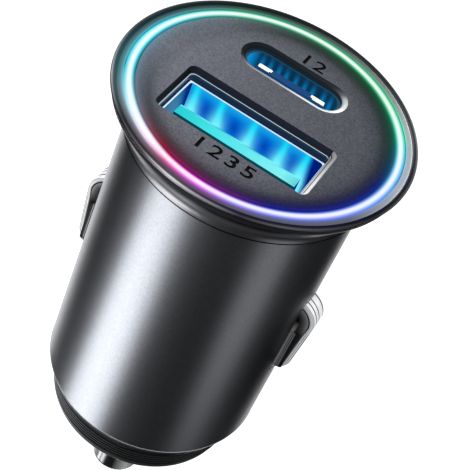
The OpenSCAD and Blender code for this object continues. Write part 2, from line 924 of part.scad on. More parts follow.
module contact_spring_right() {
    contact_coil();
}

module contact_spring_left() {
    rotate([0, 0, 180]) contact_coil();
}

// Radius of the nose's tapering side at a level
function nose_side(z) =
    nose_top_r + (nose_r - nose_top_r) * (-barrel_len - z) / (-barrel_len - collar_low - collar_round);

function ridge(i) = let (z = ridge_low + (ridge_count - i) * ridge_pitch) [
    [nose_side(z) - ridge_depth, z],
    [nose_side(z), z - 0.12],
    [nose_side(z), z - ridge_pitch + 0.18],
    [nose_side(z) - ridge_depth, z - ridge_pitch + 0.06]
];

module nose_cap() {
    band_low = -barrel_len - nose_band_h;
    tube_r = tip_bore_r + 1.1;
    wall_r = bore_r - seat_gap - 1.2;
    color("dimgray")
    rotate_extrude()
    difference() {
        polygon(concat(
            [[tip_r + seat_gap, tip_seat],
             [tip_bore_r, tip_seat],
             [tip_bore_r, plug_top],
             [bore_r - seat_gap, plug_top],
             [bore_r - seat_gap, -barrel_len],
             [nose_top_r, -barrel_len],
             [nose_top_r, -barrel_len - 0.3],
             [nose_side(band_low), band_low],
             [nose_side(band_low) - ridge_depth, band_low - 0.1]],
            [for (i = [0:ridge_count - 1]) each ridge(i)],
            [[nose_side(ridge_low) - ridge_depth, ridge_low - 0.15],
             [nose_side(ridge_low), ridge_low - 0.3]],
            arc(nose_r - collar_round, collar_low + collar_round, collar_round, 0, -60, 5),
            [[cone_end_r, nose_end],
             [tip_r + seat_gap, nose_end]]
        ));
        polygon([
            [tube_r, plug_top + cut],
            [wall_r, plug_top + cut],
            [wall_r, collar_low + 1.2],
            [tube_r, collar_low - 1]
        ]);
    }
}

module tip_contact() {
    color("silver")
    rotate_extrude()
    polygon(concat(
        [[tip_r - tip_wall, tip_seat + tip_flange_h],
         [tip_flange_r, tip_seat + tip_flange_h],
         [tip_flange_r, tip_seat],
         [tip_r, tip_seat]],
        arc(tip_r - tip_round, tip_end + tip_round, tip_round, 0, -70),
        [[0, tip_end],
         [0, tip_end + 1.6],
         [tip_r - tip_wall - 0.3, tip_end + 1.6],
         [tip_r - tip_wall, tip_end + 1.9]]
    ));
}

module tip_spring() {
    color("gainsboro") coil(spring_r, spring_wire, spring_low, spring_top, 6);
}

module positive_terminal() {
    color("gold") {
        slab(plug_top - terminal_t, plug_top) circle(tip_bore_r - 0.1);
        slab(post_low, plug_top - terminal_t) circle(post_r);
        across_y(board_y1, board_y1 + terminal_tab_t)
            translate([-terminal_tab_w / 2, plug_top - 0.1])
                square([terminal_tab_w, board_end + terminal_tab_lap - plug_top + 0.1]);
    }
}

head_collar();
barrel();
face_plate();
light_ring();
lamp_board();
for (i = [1:lamp_count])
    ring_lamp(i);
usb_a_shell();
usb_a_insulator();
for (i = [1:4])
    usb_a_contact(i);
usb_c_shell();
usb_c_insulator();
usb_c_midplate();
usb_c_upper_contacts();
usb_c_lower_contacts();
usb_c_riser();
main_board();
lamp_header();
power_inductor();
input_capacitor();
output_capacitor();
converter_chip();
port_chip();
fuse();
ground_strap();
inner_carrier();
contact_left();
contact_right();
contact_spring_left();
contact_spring_right();
nose_cap();
tip_contact();
tip_spring();
positive_terminal();
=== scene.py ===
import math
import bmesh
import bpy
from mathutils import Matrix, Vector


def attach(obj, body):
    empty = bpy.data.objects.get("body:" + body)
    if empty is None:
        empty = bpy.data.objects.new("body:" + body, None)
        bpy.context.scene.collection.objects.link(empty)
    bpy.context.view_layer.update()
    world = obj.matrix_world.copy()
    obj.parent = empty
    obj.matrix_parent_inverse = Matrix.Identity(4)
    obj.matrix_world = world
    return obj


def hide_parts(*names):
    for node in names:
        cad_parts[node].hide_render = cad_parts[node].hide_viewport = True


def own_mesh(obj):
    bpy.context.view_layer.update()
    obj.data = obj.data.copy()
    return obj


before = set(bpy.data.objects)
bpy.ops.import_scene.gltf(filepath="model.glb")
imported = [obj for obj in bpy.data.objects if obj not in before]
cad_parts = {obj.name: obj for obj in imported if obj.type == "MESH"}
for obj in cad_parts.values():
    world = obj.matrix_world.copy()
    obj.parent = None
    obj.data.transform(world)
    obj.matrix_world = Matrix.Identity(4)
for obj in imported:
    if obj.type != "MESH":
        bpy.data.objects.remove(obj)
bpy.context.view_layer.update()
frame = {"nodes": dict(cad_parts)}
nodes = frame["nodes"]
scene = bpy.context.scene
MM = 0.001
BODY = "charger_body"

# Levels and places of the part, in millimetres, as its source has them
FACE_Z = 3.9
HEAD_TOP = 4.03
RING_R = 11.25
RING_IN = 10.8
RING_OUT = 11.7
RING_EDGE_Z = 3.8
PORT_X = -0.15
PORT_A_Y = -3.35
PORT_C_Y = 5.15
PORT_BOTTOM = 2.7
BARREL_R = 10.36
BARREL_LOW_R = 10.33
BORE_R = 9.36
HEAD_SEAT_R = 10.0
DRAFT_TOP = -10.9
SLOT_TOP = -11.1
SLOT_LOW = -20.7
SLOT_HALF = 1.75
SLOT_CORNER = 0.5
CONTACT_X = 11.8
CONTACT_TOP = -11.45
CONTACT_LOW = -20.6
CONTACT_BEND_TOP = 2.3
CONTACT_BEND_LOW = 2.0
CONTACT_LEAN = 0.35
CONTACT_IN = 9.25
CONTACT_SHEET = 0.35
CONTACT_GAP = 0.9
CONTACT_TAB = 0.95
NOSE_TOP = -30.6
NOSE_SEAT = -36.6
NOSE_LOW = -39.7
RIB_COUNT = 4
NUMERAL_DEPTH = 0.16
RIB_PITCH = 0.5
TIP_R = 2.55
TIP_FLANGE_R = 4.1
TIP_LOW = -47.0


# Camera at the photograph's viewing angle

CAM_RIGHT = Vector((0.8341, 0.4631, 0.2998))
CAM_UP = Vector((-0.5346, 0.5445, 0.6463))
CAM_PLACE = Vector((17.538, -80.452, 70.72)) * MM


def make_camera():
    data = bpy.data.cameras.new("camera")
    cam = bpy.data.objects.new("camera", data)
    scene.collection.objects.link(cam)
    back = CAM_RIGHT.cross(CAM_UP)
    cam.matrix_world = Matrix((
        (CAM_RIGHT.x, CAM_UP.x, back.x, CAM_PLACE.x),
        (CAM_RIGHT.y, CAM_UP.y, back.y, CAM_PLACE.y),
        (CAM_RIGHT.z, CAM_UP.z, back.z, CAM_PLACE.z),
        (0, 0, 0, 1)))
    data.sensor_width = 36
    data.lens = 102.55
    data.clip_start = 0.001
    data.clip_end = 10
    scene.camera = cam


# Materials

class Shader:
    """A node material with one Principled shader and short ways to add nodes."""

    def __init__(self, name, color, rough, metal=0.0):
        self.mat = bpy.data.materials.new(name)
        self.mat.use_nodes = True
        self.tree = self.mat.node_tree
        self.tree.nodes.clear()
        out = self.node("OutputMaterial")
        self.bsdf = self.node("BsdfPrincipled")
        self.link(self.bsdf.outputs[0], out.inputs["Surface"])
        self.set("Base Color", color)
        self.set("Roughness", rough)
        self.set("Metallic", metal)
        self.vector = self.position()

    def node(self, kind, **props):
        made = self.tree.nodes.new("ShaderNode" + kind)
        for key, value in props.items():
            setattr(made, key, value)
        return made

    def link(self, a, b):
        self.tree.links.new(a, b)

    def put(self, socket, value):
        if isinstance(value, bpy.types.NodeSocket):
            self.link(value, socket)
        elif isinstance(value, (tuple, list)) and len(value) == 3 and socket.type == "RGBA":
            socket.default_value = (*value, 1)
        else:
            socket.default_value = value

    def set(self, name, value):
        self.put(self.bsdf.inputs[name], value)

    def position(self):
        """The point on the surface in the row frame, in millimetres."""
        scaled = self.node("VectorMath", operation="SCALE")
        scaled.inputs["Scale"].default_value = 1 / MM
        self.link(self.node("TexCoord").outputs["Object"], scaled.inputs[0])
        return scaled.outputs[0]

    def split(self, vector):
        made = self.node("SeparateXYZ")
        self.link(vector, made.inputs[0])
        return made.outputs

    def place(self):
        """That point as x, y and z."""
        return self.split(self.vector)

    def facing(self):
        """The direction that the surface faces, as x, y and z."""
        return self.split(self.node("NewGeometry").outputs["True Normal"])

    def math(self, op, a, b=0.0, c=0.0, clamp=False):
        made = self.node("Math", operation=op, use_clamp=clamp)
        for socket, value in zip(made.inputs, (a, b, c)):
            self.put(socket, value)
        return made.outputs[0]

    def add(self, a, b):
        return self.math("ADD", a, b)

    def sub(self, a, b):
        return self.math("SUBTRACT", a, b)

    def mul(self, a, b, clamp=False):
        return self.math("MULTIPLY", a, b, clamp=clamp)

    def muladd(self, a, b, c):
        return self.math("MULTIPLY_ADD", a, b, c)

    def larger(self, a, b):
        return self.math("MAXIMUM", a, b)

    def size(self, a):
        return self.math("ABSOLUTE", a)

    def is_over(self, a, b):
        return self.math("GREATER_THAN", a, b)

    def is_under(self, a, b):
        return self.math("LESS_THAN", a, b)

    def share(self, value, start, length):
        """How far a value has come along a stretch, from 0 to 1. A falling stretch has a length below 0."""
        return self.math("DIVIDE", self.sub(value, start), length, clamp=True)

    def between(self, share, a, b):
        """The value at a share of the way from a to b."""
        return self.muladd(share, self.sub(b, a), a)

    def mix(self, factor, a, b):
        made = self.node("Mix", data_type="RGBA")
        self.put(made.inputs[0], factor)
        self.put(made.inputs[6], a)
        self.put(made.inputs[7], b)
        return made.outputs[2]

    def ramp(self, factor, stops):
        made = self.node("ValToRGB")
        band = made.color_ramp
        while len(band.elements) < len(stops):
            band.elements.new(0.5)
        for element, (place, color) in zip(band.elements, stops):
            element.position = place
            element.color = (*color, 1) if isinstance(color, tuple) else (color, color, color, 1)
        self.put(made.inputs[0], factor)
        return made.outputs[0]

    def noise(self, scale, detail=3.0):
        made = self.node("TexNoise")
        made.inputs["Scale"].default_value = scale
        made.inputs["Detail"].default_value = detail
        self.link(self.vector, made.inputs["Vector"])
        return made.outputs["Fac"]

    def vary(self, scale, low, high):
        """A level that wanders between two values."""
        return self.ramp(self.noise(scale), [(0.3, low), (0.7, high)])

    def relief(self, scale, strength, detail=3.0, height=0.02):
        """A fine unevenness of the surface, its height in millimetres."""
        made = self.node("Bump")
        made.inputs["Strength"].default_value = strength
        made.inputs["Distance"].default_value = height * MM
        self.put(made.inputs["Height"], self.noise(scale, detail))
        self.set("Normal", made.outputs[0])


# Hues round the lit ring by azimuth, in degrees from +X
HUES = [
    (-180, (0.04, 0.72, 0.88)),
    (-155, (0.04, 0.60, 0.72)),
    (-135, (0.45, 0.80, 0.92)),
    (-118, (0.80, 0.62, 0.86)),
    (-106, (0.78, 0.08, 0.36)),
    (-92, (0.72, 0.06, 0.78)),
    (-76, (0.24, 0.14, 0.78)),
    (-60, (0.12, 0.16, 0.80)),
    (-30, (0.12, 0.22, 0.88)),
    (-5, (0.08, 0.34, 0.88)),
    (15, (0.06, 0.50, 0.78)),
    (30, (0.04, 0.66, 0.48)),
    (50, (0.05, 0.60, 0.26)),
    (95, (0.10, 0.52, 0.28)),
    (130, (0.08, 0.58, 0.36)),
    (150, (0.05, 0.55, 0.52)),
    (168, (0.04, 0.64, 0.80)),
    (180, (0.04, 0.72, 0.88)),
]


# The ring's light painted as a glow on the face, by azimuth too
SPILLS = [
    (-180, (0.02, 0.3, 0.5)),
    (-135, (0.25, 0.3, 0.4)),
    (-112, (0.62, 0.0, 0.06)),
    (-88, (0.34, 0.0, 0.3)),
    (-62, (0.01, 0.01, 0.5)),
    (-5, (0.0, 0.03, 0.55)),
    (25, (0.0, 0.3, 0.2)),
    (65, (0.0, 0.3, 0.08)),
    (120, (0.02, 0.2, 0.1)),
    (180, (0.02, 0.3, 0.5)),
]

# Where painted reflections of the contacts lie as streaks of light on the ports' far walls, and the dark
# between
WIDE_STREAKS = (-5.5, -3.1, -0.12, 2.85, 4.85)
WIDE_DIPS = (-4.3, -1.6, 1.35, 4.0)
OVAL_STREAKS = (-3.27, -2.51, -1.68, -0.93, -0.02, 0.85, 1.64, 2.65, 3.4)

BLACK_TINT = (0.0, 0.0, 0.0)
PLATE_TINT = (0.96, 0.97, 1.0)


def around(s, x, y, stops):
    """A value or colour by azimuth, from stops in degrees from +X."""
    turn = s.muladd(s.math("ARCTAN2", y, x), 1 / (2 * math.pi), 0.5)
    return s.ramp(turn, [((azimuth + 180) / 360, level) for azimuth, level in stops])


def radius(s, x, y):
    return s.math("SQRT", s.add(s.mul(x, x), s.mul(y, y)))


def glow(s, gap, reach, level):
    """How much of the ring's light is painted on a surface as a glow, falling off with the gap to the ring.
    """
    fall = s.math("DIVIDE", s.larger(gap, 0.0), -reach)
    return s.mul(s.math("EXPONENT", fall), level)


def bells(s, value, centres, width):
    """Sum of soft bumps of one width along a coordinate."""
    total = 0.0
    for centre in centres:
        off = s.math("DIVIDE", s.sub(value, centre), width)
        total = s.add(total, s.math("EXPONENT", s.mul(s.mul(off, off), -1.0)))
    return total


def lit(name, color, rough, glow_color, level):
    """A plain surface with a painted glow, a little uneven."""
    s = Shader(name, color, rough)
    s.set("Emission Color", glow_color)
    s.set("Emission Strength", s.vary(4.0, 0.88 * level, level))
    s.set("Specular IOR Level", 0.1)
    return s


def plain(name, color, rough, metal=0.0, grain=12.0, spread=0.12, relief=0.1):
    """A plain surface with a fine grain in colour, gloss and height."""
    s = Shader(name, color, rough, metal)
    dark = tuple(c * (1 - spread) for c in color)
    light = tuple(min(1, c * (1 + spread)) for c in color)
    s.set("Base Color", s.vary(grain, dark, light))
    s.set("Roughness", s.vary(grain, rough * 0.88, rough * 1.12))
    s.relief(grain * 2.5, relief)
    return s


def barrel_material():
    """Satin metal with a fine grain, and a painted shadow round the slot at +X."""
    s = Shader("barrel_metal", (0.34, 0.35, 0.37), 0.36, 1.0)
    x, y, z = s.place()
    tint = s.ramp(s.noise(5.0, 5.0), [(0.3, (0.305, 0.32, 0.352)), (0.7, (0.368, 0.382, 0.415))])
    # Painted shadow: the base colour darkens round the slot at +X, beside the contact
    above = s.larger(s.sub(z, -13.6), 0.0)
    below = s.larger(s.sub(-15.5, z), 0.0)
    gap = radius(s, s.sub(x, BARREL_R), s.muladd(y, 0.7, 0.8))
    gap = radius(s, gap, s.muladd(below, 0.35, above))
    shade = s.math("EXPONENT", s.mul(s.mul(gap, gap), -0.16))
    s.set("Base Color", s.mix(s.mul(shade, 0.93), tint, BLACK_TINT))
    s.set("Roughness", s.ramp(s.noise(3.0, 4.0), [(0.3, 0.32), (0.75, 0.36)]))
    s.relief(15.0, 0.07, 2.0)
    return s


def head_material():
    """Turned metal: a dark side in bands of painted reflection, with its seam at the foot painted black as
    shade, under a flat and a bead with painted highlights in places, and the ring's light painted on the
    top as a glow.
    """
    s = Shader("head_metal", (0.3, 0.3, 0.32), 0.34, 1.0)
    x, y, z = s.place()
    r = radius(s, x, y)
    top = s.is_over(z, FACE_Z - 0.12)
    # The ring's light painted on the top as a glow
    gap = s.sub(r, RING_OUT)
    reach = around(s, x, y, [(-180, 0.1), (-160, 0.32), (-145, 0.32), (-125, 0.06), (-90, 0.16),
                             (-60, 0.05), (100, 0.03), (150, 0.06), (180, 0.1)])
    near = s.mul(glow(s, gap, 0.14, 0.6), top)
    far = s.mul(glow(s, gap, 0.5, 1.0), s.mul(reach, top))
    s.set("Emission Color", around(s, x, y, HUES))
    s.set("Emission Strength", s.add(near, far))
    # Painted highlights and shade by azimuth on the flat beside the ring
    flat = around(s, x, y, [(-180, 0.045), (-90, 0.07), (-30, 0.24), (0, 0.95), (35, 0.95), (60, 0.4),
                            (85, 0.13), (115, 0.04), (180, 0.045)])
    # Painted highlights and shade by azimuth on the bead, kept darker on its inner part
    bead = around(s, x, y, [(-180, 0.05), (-150, 0.2), (-128, 0.02), (-112, 0.08), (-98, 0.6), (-86, 0.26),
                            (-72, 0.04), (-57, 0.12), (-20, 0.05), (10, 0.35), (30, 1.0), (60, 0.32),
                            (95, 0.1), (130, 0.04), (180, 0.05)])
    groove = s.ramp(s.sub(r, 12.0), [(0.24, 0.1), (0.5, 0.12), (0.66, 1.0)])
    bead = s.mul(bead, groove)
    # Painted reflection bands down the side by height, and a black line at the seam painted as the shade of
    # its gap
    side = s.ramp(s.share(z, 0.0, 4.0), [
        (0.0, 0.005), (0.045, 0.005), (0.052, 0.33), (0.5, 0.34), (0.6, 0.22), (0.68, 0.07), (0.77, 0.03),
        (0.93, 0.03)])
    side = s.mul(side, s.vary(10.0, 0.88, 1.08))
    level = s.between(top, side, bead)
    level = s.between(s.mul(top, s.is_under(r, 12.24)), level, flat)
    s.set("Base Color", s.mix(level, (0.0, 0.0, 0.002), (1.0, 1.01, 1.06)))
    s.relief(15.0, 0.06, 2.0)
    return s


def face_material():
    """Fine matt face with painted shade towards its edge, except at the left where a painted sheen keeps it
    light, and the ring's light painted on it as a glow.
    """
    s = Shader("face_metal", (0.15, 0.14, 0.16), 0.42, 0.9)
    x, y, _ = s.place()
    r = radius(s, x, y)
    grain = s.noise(6.5, 5.0)
    # Painted shade towards the edge, held off at the left by a painted sheen; it also takes the gloss away
    edge = s.ramp(s.math("DIVIDE", r, 12.0), [(0.66, 1.0), (0.76, 0.72), (0.82, 0.26), (0.87, 0.06)])
    kept = around(s, x, y, [(-180, 0.85), (-140, 0.3), (-115, 0.0), (60, 0.0), (100, 0.2), (140, 0.8),
                            (180, 0.85)])
    shade = s.larger(edge, kept)
    tint = s.ramp(grain, [(0.34, (0.1, 0.106, 0.13)), (0.68, (0.185, 0.196, 0.226))])
    s.set("Base Color", s.mix(shade, (0.004, 0.004, 0.006), tint))
    s.set("Roughness", s.ramp(grain, [(0.3, 0.4), (0.7, 0.5)]))
    s.set("Specular IOR Level", s.mul(shade, 0.5))
    s.relief(24.0, 0.2, 2.0, 0.03)
    # The ring's light painted on the face as a glow
    gap = s.sub(RING_IN, r)
    s.set("Emission Color", around(s, x, y, SPILLS))
    s.set("Emission Strength", s.add(glow(s, gap, 0.34, 0.44), glow(s, gap, 0.95, 0.07)))
    return s


def ring_material():
    """The lit ring: near white along its middle, its own hue beside it, and darker inwards."""
    s = Shader("lit_ring", (0.01, 0.01, 0.01), 0.4)
    x, y, _ = s.place()
    across = s.sub(radius(s, x, y), RING_R - 0.5)
    pale = s.ramp(across, [(0.2, 0.0), (0.3, 0.28), (0.37, 0.62), (0.43, 0.76), (0.6, 0.76), (0.68, 0.5),
                           (0.78, 0.18), (0.9, 0.0)])
    level = s.ramp(across, [(0.04, 0.16), (0.12, 0.4), (0.24, 0.92), (0.36, 1.0), (0.8, 1.0), (0.96, 0.78)])
    s.set("Emission Color", s.mix(pale, around(s, x, y, HUES), (1.0, 1.0, 1.0)))
    s.set("Emission Strength", s.mul(level, 1.1))
    s.set("Specular IOR Level", 0.0)
    return s


def wide_shell_material():
    """The wide port's shell, all painted light as a glow: a bright inner edge as a painted highlight, and
    streaks of painted reflection of the contacts on its walls.
    """
    s = Shader("wide_port_shell", (0.45, 0.5, 0.6), 0.25, 1.0)
    x, y, z = s.place()
    across = s.sub(x, PORT_X)
    over = s.size(s.sub(y, PORT_A_Y))
    along = s.add(across, s.muladd(s.noise(0.5, 1.0), 0.3, -0.15))
    height = s.share(z, -0.3, 3.0)
    low = s.sub(1.0, height)
    # Painted reflection of the contacts as streaks and dark dips, and painted shade at the far end and end
    # walls
    broad = bells(s, along, WIDE_STREAKS, 0.62)
    body = s.ramp(height, [
        (0.0, (0.001, 0.22, 0.66)), (0.16, (0.0, 0.15, 0.62)), (0.4, (0.0, 0.12, 0.62)),
        (0.68, (0.0, 0.17, 0.66)), (0.95, (0.006, 0.36, 0.8)), (1.0, (0.02, 0.42, 0.85))])
    dips = s.mul(bells(s, along, WIDE_DIPS, 0.45), bells(s, z, (1.0,), 0.8))
    body = s.mix(s.mul(dips, 0.75, clamp=True), body, (0.0, 0.045, 0.45))
    cyan = s.muladd(s.mul(broad, low), 0.72, s.mul(bells(s, along, WIDE_STREAKS, 0.3), 0.75))
    body = s.mix(s.math("MINIMUM", cyan, 0.97), body, (0.004, 0.74, 0.97))
    white = s.mul(s.mul(broad, s.math("POWER", low, 2.2)), 0.85, clamp=True)
    body = s.mix(white, body, (0.34, 1.0, 1.0))
    far_end = s.share(s.muladd(height, 0.35, across), 5.3, 1 / 2.2)
    body = s.mix(far_end, body, (0.0, 0.012, 0.2))
    end_wall = s.ramp(height, [(0.0, (0.0, 0.035, 0.27)), (0.5, (0.0, 0.012, 0.16)),
                               (1.0, (0.0, 0.008, 0.12))])
    body = s.mix(s.is_over(s.size(across), 6.1), body, end_wall)
    inside = s.mul(s.is_under(over, 2.6), s.is_under(s.size(across), 6.3))
    inside = s.mul(inside, s.is_under(z, 2.69))
    rim = s.is_over(z, 2.69)
    # Painted highlight along the shell's inner edge
    from_edge = s.larger(s.sub(s.size(across), 6.25), s.sub(over, 2.56))
    edge = s.mix(s.is_under(from_edge, 0.13), (0.004, 0.02, 0.07), (0.72, 0.88, 1.0))
    glowing = s.larger(inside, rim)
    s.set("Emission Color", s.mix(rim, body, edge))
    s.set("Emission Strength", glowing)
    s.set("Base Color", s.mix(glowing, (0.6, 0.62, 0.66), BLACK_TINT))
    s.set("Specular IOR Level", 0.0)
    return s


def wide_tongue_material():
    """The wide port's tongue, all a painted glow: pale on its front as painted light, with painted
    reflection streaks at its far edge, painted shade on its bevel, deep blue behind.
    """
    s = Shader("wide_tongue", (0.002, 0.01, 0.015), 0.4)
    x, y, _ = s.place()
    across = s.sub(x, PORT_X)
    facing = s.facing()
    # Painted light on the front and painted shade on the bevel, chosen by the way each face turns
    front = s.is_over(facing[2], 0.9)
    bevel = s.is_under(facing[1], -0.4)
    pale = s.ramp(s.muladd(across, 1 / 12, 0.5), [
        (0.05, (0.02, 0.64, 0.66)), (0.3, (0.06, 0.8, 0.83)), (0.55, (0.13, 0.82, 0.88)),
        (0.85, (0.24, 0.93, 0.94)), (0.95, (0.14, 0.7, 0.74))])
    streak = s.mul(bells(s, across, WIDE_STREAKS, 0.9), 1.0, clamp=True)
    back = s.mix(streak, (0.002, 0.36, 0.66), (0.2, 0.96, 1.0))
    pale = s.mix(s.share(y, PORT_A_Y - 0.4, 0.125), pale, back)
    body = s.mix(bevel, (0.0, 0.05, 0.28), (0.001, 0.05, 0.07))
    s.set("Emission Color", s.mix(front, body, pale))
    s.set("Emission Strength", s.vary(1.5, 0.93, 1.0))
    s.set("Specular IOR Level", 0.0)
    return s


def oval_shell_material():
    """The oval port's shell, all a painted glow: bright stripes of painted reflection of the contacts on
    dark, and painted shade on its near side.
    """
    s = Shader("oval_port_shell", (0.02, 0.05, 0.09), 0.3, 0.5)
    x, y, z = s.place()
    across = s.sub(x, PORT_X)
    # Painted reflection of the contacts as stripes, and painted shade on the near side
    stripes = bells(s, across, OVAL_STREAKS, 0.2)
    left = s.share(across, -3.55, -0.625)
    fade = s.ramp(s.share(z, 3.2, -2.6), [(0.0, 0.12), (0.35, 0.75), (1.0, 1.0)])
    power = s.mul(s.larger(s.mul(stripes, fade), left), 0.92, clamp=True)
    body = s.mix(power, (0.0, 0.02, 0.05), (0.0, 0.24, 0.62))
    near = s.is_under(y, PORT_C_Y - 0.9)
    body = s.mix(s.mul(near, 0.85), body, (0.0, 0.004, 0.01))
    s.set("Emission Color", s.mix(s.is_over(z, 3.39), body, (0.01, 0.05, 0.08)))
    s.set("Emission Strength", 1.0)
    return s


def recess_edge_material():
    """The wide cut-out's chamfer: black, but with a pale fine double line at its +X end painted on as a
    highlight.
    """
    s = Shader("recess_edge", (0.02, 0.02, 0.025), 0.3, 1.0)
    x, y, z = s.place()
    # Painted highlight: a pale double line with a glow at the chamfer's +X end
    bright = s.share(s.sub(x, PORT_X), 6.38, 0.025)
    lines = s.ramp(s.share(z, 3.5, 0.4), [
        (0.0, 0.02), (0.08, 0.02), (0.12, 0.8), (0.25, 0.8), (0.3, 0.04), (0.4, 0.04), (0.46, 0.6),
        (0.8, 0.85), (1.0, 0.6)])
    along = s.share(y, PORT_A_Y + 3.0, -6.0)
    along = s.ramp(along, [(0.0, 0.3), (0.3, 0.5), (0.7, 0.9), (1.0, 1.0)])
    level = s.mul(s.mul(lines, along), bright)
    pale = s.mix(level, BLACK_TINT, (0.9, 0.93, 0.96))
    s.set("Base Color", s.mix(bright, (0.01, 0.012, 0.02), pale))
    s.set("Metallic", s.sub(1.0, bright))
    s.set("Emission Color", (1.0, 1.0, 1.0))
    s.set("Emission Strength", s.mul(level, 0.45))
    s.set("Specular IOR Level", 0.1)
    s.set("Roughness", s.vary(12.0, 0.3, 0.4))
    return s


def oval_edge_material():
    """The oval's bevel, its light and shade painted: dark at its upper left, grey on the near side, bright
    with a painted glow at its +X end.
    """
    s = Shader("oval_edge", (0.1, 0.1, 0.1), 0.3, 0.25)
    x, y, z = s.place()
    # Painted light and shade round the bevel by side, with a painted glow where it is bright
    lean = s.muladd(s.sub(y, PORT_C_Y), -0.22, s.mul(s.sub(x, PORT_X), 0.075))
    level = s.ramp(s.add(lean, 0.5), [(0.05, 0.012), (0.36, 0.02), (0.5, 0.1), (0.6, 0.3), (0.85, 0.5),
                                      (0.98, 1.0)])
    level = s.mul(level, s.ramp(s.share(z, 3.73, 0.17), [(0.0, 0.4), (0.2, 0.75), (0.4, 1.0)]))
    s.set("Base Color", s.mix(level, (0.0, 0.004, 0.008), (0.95, 0.98, 1.0)))
    s.set("Emission Color", (0.95, 0.98, 1.0))
    s.set("Emission Strength", s.mul(level, 0.4))
    s.set("Specular IOR Level", s.mul(level, 0.5))
    s.set("Roughness", s.vary(12.0, 0.24, 0.32))
    return s


def recess_wall_material():
    """Black glossy walls of the cut-outs, with a band of blue light from the port below painted on as a
    glow.
    """
    s = Shader("recess_wall", (0.01, 0.012, 0.02), 0.25)
    z = s.place()[2]
    # Painted light from the port below, as a glow in a band
    down = s.share(z, FACE_Z, -1.2)
    s.set("Emission Color", s.ramp(down, [
        (0.0, (0.004, 0.01, 0.018)), (0.52, (0.006, 0.02, 0.035)), (0.58, (0.01, 0.04, 0.075)),
        (0.75, (0.003, 0.012, 0.04)), (1.0, (0.004, 0.016, 0.06))]))
    s.set("Emission Strength", 0.8)
    s.set("Roughness", s.vary(12.0, 0.2, 0.3))
    s.set("Specular IOR Level", 0.12)
    return s


def engraving_material():
    """The numerals' dark hollows, with their wall towards the light painted pale as a highlight."""
    s = Shader("engraving", (0.01, 0.01, 0.012), 0.6)
    facing = s.facing()
    # Painted highlight on the hollows' wall that faces the light
    lean = s.muladd(facing[0], -0.5, facing[1])
    pale = s.share(lean, 0.4, 0.5)
    dark = s.mix(s.vary(14.0, 0.008, 0.016), BLACK_TINT, (1.0, 1.0, 1.1))
    s.set("Base Color", s.mix(pale, dark, (0.5, 0.5, 0.52)))
    s.set("Specular IOR Level", 0.0)
    return s


def strip_material():
    """Bright plate of the side contacts, its light and shade painted: painted reflection lines along the
    web, bands of painted highlight and shade that follow the bow on the flanks, and a painted glow.
    """
    s = Shader("stamped_strip", (0.7, 0.7, 0.7), 0.3, 0.3)
    x, y, z = s.place()
    bend_z = CONTACT_TOP - CONTACT_BEND_TOP
    straight = CONTACT_TOP - CONTACT_LOW - CONTACT_BEND_TOP - CONTACT_BEND_LOW
    slope = s.share(z, bend_z, -straight)
    out = s.muladd(slope, CONTACT_LEAN, s.size(x))
    over = s.larger(s.sub(out, CONTACT_X - CONTACT_BEND_TOP), 0.0)
    upper = radius(s, over, s.larger(s.sub(z, bend_z), 0.0))
    over = s.larger(s.sub(out, CONTACT_X - CONTACT_BEND_LOW), 0.0)
    lower = radius(s, over, s.larger(s.sub(CONTACT_LOW + CONTACT_BEND_LOW, z), 0.0))
    depth = s.math("MINIMUM", s.sub(CONTACT_BEND_TOP, upper), s.sub(CONTACT_BEND_LOW, lower))
    depth = s.math("DIVIDE", depth, 2.4)
    # Painted highlights and shade on the flanks, in bands by depth inside the outline, darkest deep inside
    bend = s.ramp(depth, [
        (0.0, 0.9), (0.02, 0.9), (0.03, 0.3), (0.045, 0.8), (0.135, 0.5), (0.15, 0.02), (0.19, 0.02),
        (0.21, 0.2), (0.3, 0.12), (0.4, 0.05), (0.5, 0.02), (0.6, 0.005)])
    leg = s.ramp(depth, [
        (0.0, 0.1), (0.035, 0.1), (0.045, 0.9), (0.075, 0.85), (0.085, 0.1), (0.1, 0.1), (0.11, 0.8),
        (0.15, 0.6), (0.175, 0.1), (0.21, 0.02), (0.4, 0.006), (0.5, 0.02), (0.55, 0.3), (0.62, 0.3),
        (0.9, 0.02)])
    flank = s.between(s.share(z, -13.6, -1.4), bend, leg)
    across = s.muladd(y, 0.5, 0.5)
    # Painted reflection lines along the web, laid out differently on the right and left contacts
    web_right = s.ramp(across, [
        (0.03, 0.25), (0.06, 0.97), (0.2, 0.95), (0.22, 0.08), (0.27, 0.08), (0.29, 0.95), (0.46, 0.97),
        (0.48, 0.08), (0.53, 0.08), (0.55, 0.97), (0.87, 0.97), (0.885, 0.05), (0.94, 0.05), (0.955, 0.7)])
    web_left = s.ramp(across, [
        (0.05, 0.9), (0.2, 0.95), (0.24, 0.1), (0.3, 0.1), (0.34, 0.95), (0.52, 0.97), (0.56, 0.1),
        (0.63, 0.1), (0.67, 0.97), (0.76, 0.97), (0.8, 0.1), (1.0, 0.1)])
    web = s.mix(s.is_under(x, 0.0), web_right, web_left)
    on_web = s.is_under(s.size(s.facing()[1]), 0.35)
    tone = s.between(on_web, flank, web)
    s.set("Base Color", s.mix(tone, BLACK_TINT, PLATE_TINT))
    # Painted glow, stronger on the web
    s.set("Emission Color", (0.96, 0.98, 1.0))
    s.set("Emission Strength", s.mul(tone, s.muladd(on_web, 0.3, 0.12)))
    s.set("Metallic", s.mul(tone, 0.2))
    s.set("Specular IOR Level", s.mul(tone, 0.5))
    s.set("Roughness", s.vary(9.0, 0.24, 0.32))
    s.relief(16.0, 0.04)
    return s


